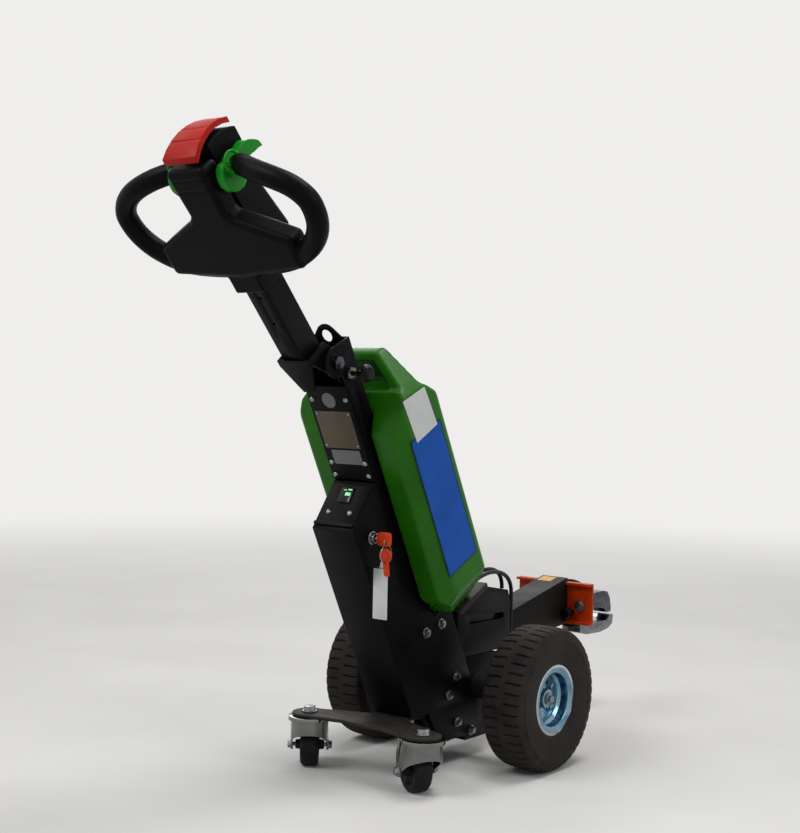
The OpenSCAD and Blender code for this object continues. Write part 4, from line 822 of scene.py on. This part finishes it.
def key_fob():
    """Split rings, the spare key with a round red head, and the blank tag."""
    place = Matrix.Translation(RING_AT)
    ring = bmesh.new()
    ring_coil(ring, RING_R, RING_DROP)
    ring_coil(ring, LINK_R, LINK_DROP)
    wire = build("key_ring", ring, place, zinc_bright, "fob")
    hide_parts("key_fob")
    spare = bmesh.new()
    bevelled_slab(spare, circle(0, SPARE_DROP, SPARE_R, 24), *SPARE_HEAD_Y, "y", SPARE_EDGE)
    bevelled_slab(spare, rounded(SPARE_SHANK, 2), *SPARE_SHANK_Y, "y", SHANK_EDGE)
    build("spare_key", spare, place, key_red, "fob")
    rim = bmesh.new()
    path = [(x, SPARE_RIM_Y, z) for x, z in circle(0, SPARE_DROP, SPARE_RIM_R, 36)]
    tube(rim, path + path[:1], SPARE_RIM_WIRE, 8)
    build("spare_key_rim", rim, place, key_red, "fob")
    tag = bmesh.new()
    bevelled_slab(tag, rounded(TAG_OUTLINE, 3), *TAG_Y, "y", TAG_EDGE)
    build("key_tag", tag, place, vinyl_white, "fob")


ignition_key()
key_fob()


# Butterfly levers: a dished hub at the grip's root, a thumb paddle swept rearward above it
# and a broad lobe below

LEVER_AXIS = (-2, 380)
LEVER_X = (41.5, 60.5)
HUB_R = 18
HUB_EDGE = 3
PADDLE_X = (42.5, 61.0)
PADDLE_PATH = [(0, 8), (12, 7), (24, 7.5), (37, 8), (50, 5), (62, -1)]
PADDLE_HALF = [10.0, 9.5, 10.5, 12.0, 9.5, 5.5]
PADDLE_SLANT = 0.25
PADDLE_EDGE = 3.5
PADDLE_FINE = 5
LOBE_INSET = 2
LOBE_EDGE = 4
LOBE_OUTLINE = [(-27, 18, 8), (-38, -2, 9), (-36, -24, 10), (-21, -33, 8), (3, -33, 8),
                (12, -18, 8), (8, 8, 6)]
DISH_MIDDLE = (-7, 12)
DISH_R = 14.5
DISH_LIP = 2.2
LIP_SUNK = 0.5
DISH_DEEP = 3.5
DISH_REACH = 6
LEVER_VOXEL = 1.0
LEVER_PASSES = 4


def lever(side):
    """One thumb lever round the root of a grip."""
    mesh = bmesh.new()
    low, high = sorted(side * x for x in LEVER_X)
    at_n, at_t = LEVER_AXIS
    bevelled_slab(mesh, circle(at_n, at_t, HUB_R, 36), low, high, "x", HUB_EDGE)
    bevelled_slab(mesh, rounded([(at_n + n, at_t + t, r) for n, t, r in LOBE_OUTLINE], 8),
                  low + LOBE_INSET, high - LOBE_INSET, "x", LOBE_EDGE)
    spots = spline([(0, n, t) for n, t in PADDLE_PATH], PADDLE_FINE)
    halves = spline([(0, 0, h) for h in PADDLE_HALF], PADDLE_FINE)
    top = [(p.y - PADDLE_SLANT * h.z, p.z + h.z) for p, h in zip(spots, halves)]
    low_edge = [(p.y + PADDLE_SLANT * h.z, p.z - h.z) for p, h in zip(spots, halves)]
    outline = [(at_n + n, at_t + t) for n, t in top + low_edge[::-1]]
    bevelled_slab(mesh, outline, *sorted(side * x for x in PADDLE_X), "x", PADDLE_EDGE)
    mid_n, mid_t = at_n + DISH_MIDDLE[0], at_t + DISH_MIDDLE[1]
    path = [(side * (LEVER_X[1] - LIP_SUNK), n, t) for n, t in circle(mid_n, mid_t, DISH_R, 32)]
    tube(mesh, path + path[:1], DISH_LIP, 12)
    word = "left" if side < 0 else "right"
    piece = build(word + "_lever", mesh, Matrix(), nylon_green, None)
    melt(piece, LEVER_VOXEL, LEVER_PASSES)
    for vertex in piece.data.vertices:
        point = vertex.co / MM
        away = math.hypot(point.y - mid_n, point.z - mid_t)
        if side * point.x > LEVER_X[1] - DISH_REACH:
            point.x -= side * cut_line(away, DISH_R - DISH_LIP, DISH_DEEP)
        vertex.co = point * MM
    piece.data.transform(TILLER)
    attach(piece, "throttle")
    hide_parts("throttle_" + word)


for side in LEFT_AND_RIGHT:
    lever(side)


# Stage: a pale floor that fades into the white surroundings, and soft light

FLOOR_HALF = 14.0
FADE_FROM = 1.5
FADE_TO = 5.0
BACKDROP = "#efeeed"
FLOOR_PATCH = 400.0
FLOOR_ROUGHNESS = 0.8
FILL_LIGHT = 0.34
LIT_SPOT = (0.0, 0.0, 0.5)
SOFTBOXES = [
    ("key_softbox", (-0.9, -2.6, 3.0), (1.6, 1.2), 44),
    ("top_softbox", (0.6, 0.2, 3.4), (1.6, 1.2), 42),
    ("side_softbox", (3.2, -0.2, 1.9), (1.2, 1.4), 19),
    ("back_softbox", (-2.2, 2.6, 2.6), (1.8, 1.2), 30),
]


def seen_share(tree):
    """One for what the camera sees, straight or through metal and glass, else nothing."""
    ray = add(tree, "ShaderNodeLightPath")
    seen = ray.outputs["Is Camera Ray"]
    for way in ("Is Glossy Ray", "Is Transmission Ray"):
        seen = add(tree, "ShaderNodeMath", {"operation": "MAXIMUM"}, _0=seen,
                   _1=ray.outputs[way]).outputs[0]
    return seen


def lay_floor():
    """Plain pale floor that takes the shadow and fades into the backdrop's colour."""
    mesh = bpy.data.meshes.new("floor")
    h = FLOOR_HALF
    mesh.from_pydata([(-h, -h, 0), (h, -h, 0), (h, h, 0), (-h, h, 0)], [], [(0, 1, 2, 3)])
    floor = bpy.data.objects.new("floor", mesh)
    material, tree, shader, place = start("studio_floor")
    reach = add(tree, "ShaderNodeVectorMath", {"operation": "LENGTH"}, _0=place)
    fade = add(tree, "ShaderNodeMapRange", {"interpolation_type": "SMOOTHSTEP"},
               Value=reach.outputs["Value"], From_Min=FADE_FROM, From_Max=FADE_TO)
    mottle = add(tree, "ShaderNodeTexNoise", Vector=place, Scale=per_mm(FLOOR_PATCH),
                 Detail=3.0)
    tone = add(tree, "ShaderNodeValToRGB", stops=[(0.3, "#dcdbd9"), (0.7, "#e3e2e0")],
               Fac=mottle.outputs["Fac"])
    near = add(tree, "ShaderNodeMix", {"data_type": "RGBA"}, _0=fade.outputs["Result"],
               _6=tone.outputs["Color"], _7=linear("#000000"))
    shown = add(tree, "ShaderNodeMath", {"operation": "MULTIPLY"}, _0=fade.outputs["Result"],
                _1=seen_share(tree))
    feed(tree, shader, Base_Color=near.outputs[2], Emission_Color=linear(BACKDROP),
         Emission_Strength=shown.outputs[0], Specular_IOR_Level=0.0,
         Roughness=FLOOR_ROUGHNESS)
    mesh.materials.append(material)
    bpy.context.scene.collection.objects.link(floor)


def light_world():
    """Even white surroundings; what the camera sees of them is the backdrop's colour."""
    world = bpy.data.worlds.new("studio")
    world.use_nodes = True
    tree = world.node_tree
    tree.nodes.clear()
    dim = add(tree, "ShaderNodeBackground", Color=linear("#ffffff"), Strength=FILL_LIGHT)
    bright = add(tree, "ShaderNodeBackground", Color=linear(BACKDROP), Strength=1.0)
    mix = add(tree, "ShaderNodeMixShader", _0=seen_share(tree), _1=dim.outputs[0],
              _2=bright.outputs[0])
    out = add(tree, "ShaderNodeOutputWorld")
    tree.links.new(mix.outputs[0], out.inputs["Surface"])
    bpy.context.scene.world = world


def softbox(name, at, size, power):
    """A rectangular soft light aimed at the machine."""
    data = bpy.data.lights.new(name, "AREA")
    data.shape = "RECTANGLE"
    data.size, data.size_y = size
    data.energy = power
    lamp = bpy.data.objects.new(name, data)
    lamp.location = at
    lamp.rotation_euler = (Vector(LIT_SPOT) - Vector(at)).to_track_quat("-Z", "Y").to_euler()
    bpy.context.scene.collection.objects.link(lamp)


lay_floor()
light_world()
for name, at, size, power in SOFTBOXES:
    softbox(name, at, size, power)

bpy.context.scene.view_settings.view_transform = "Standard"
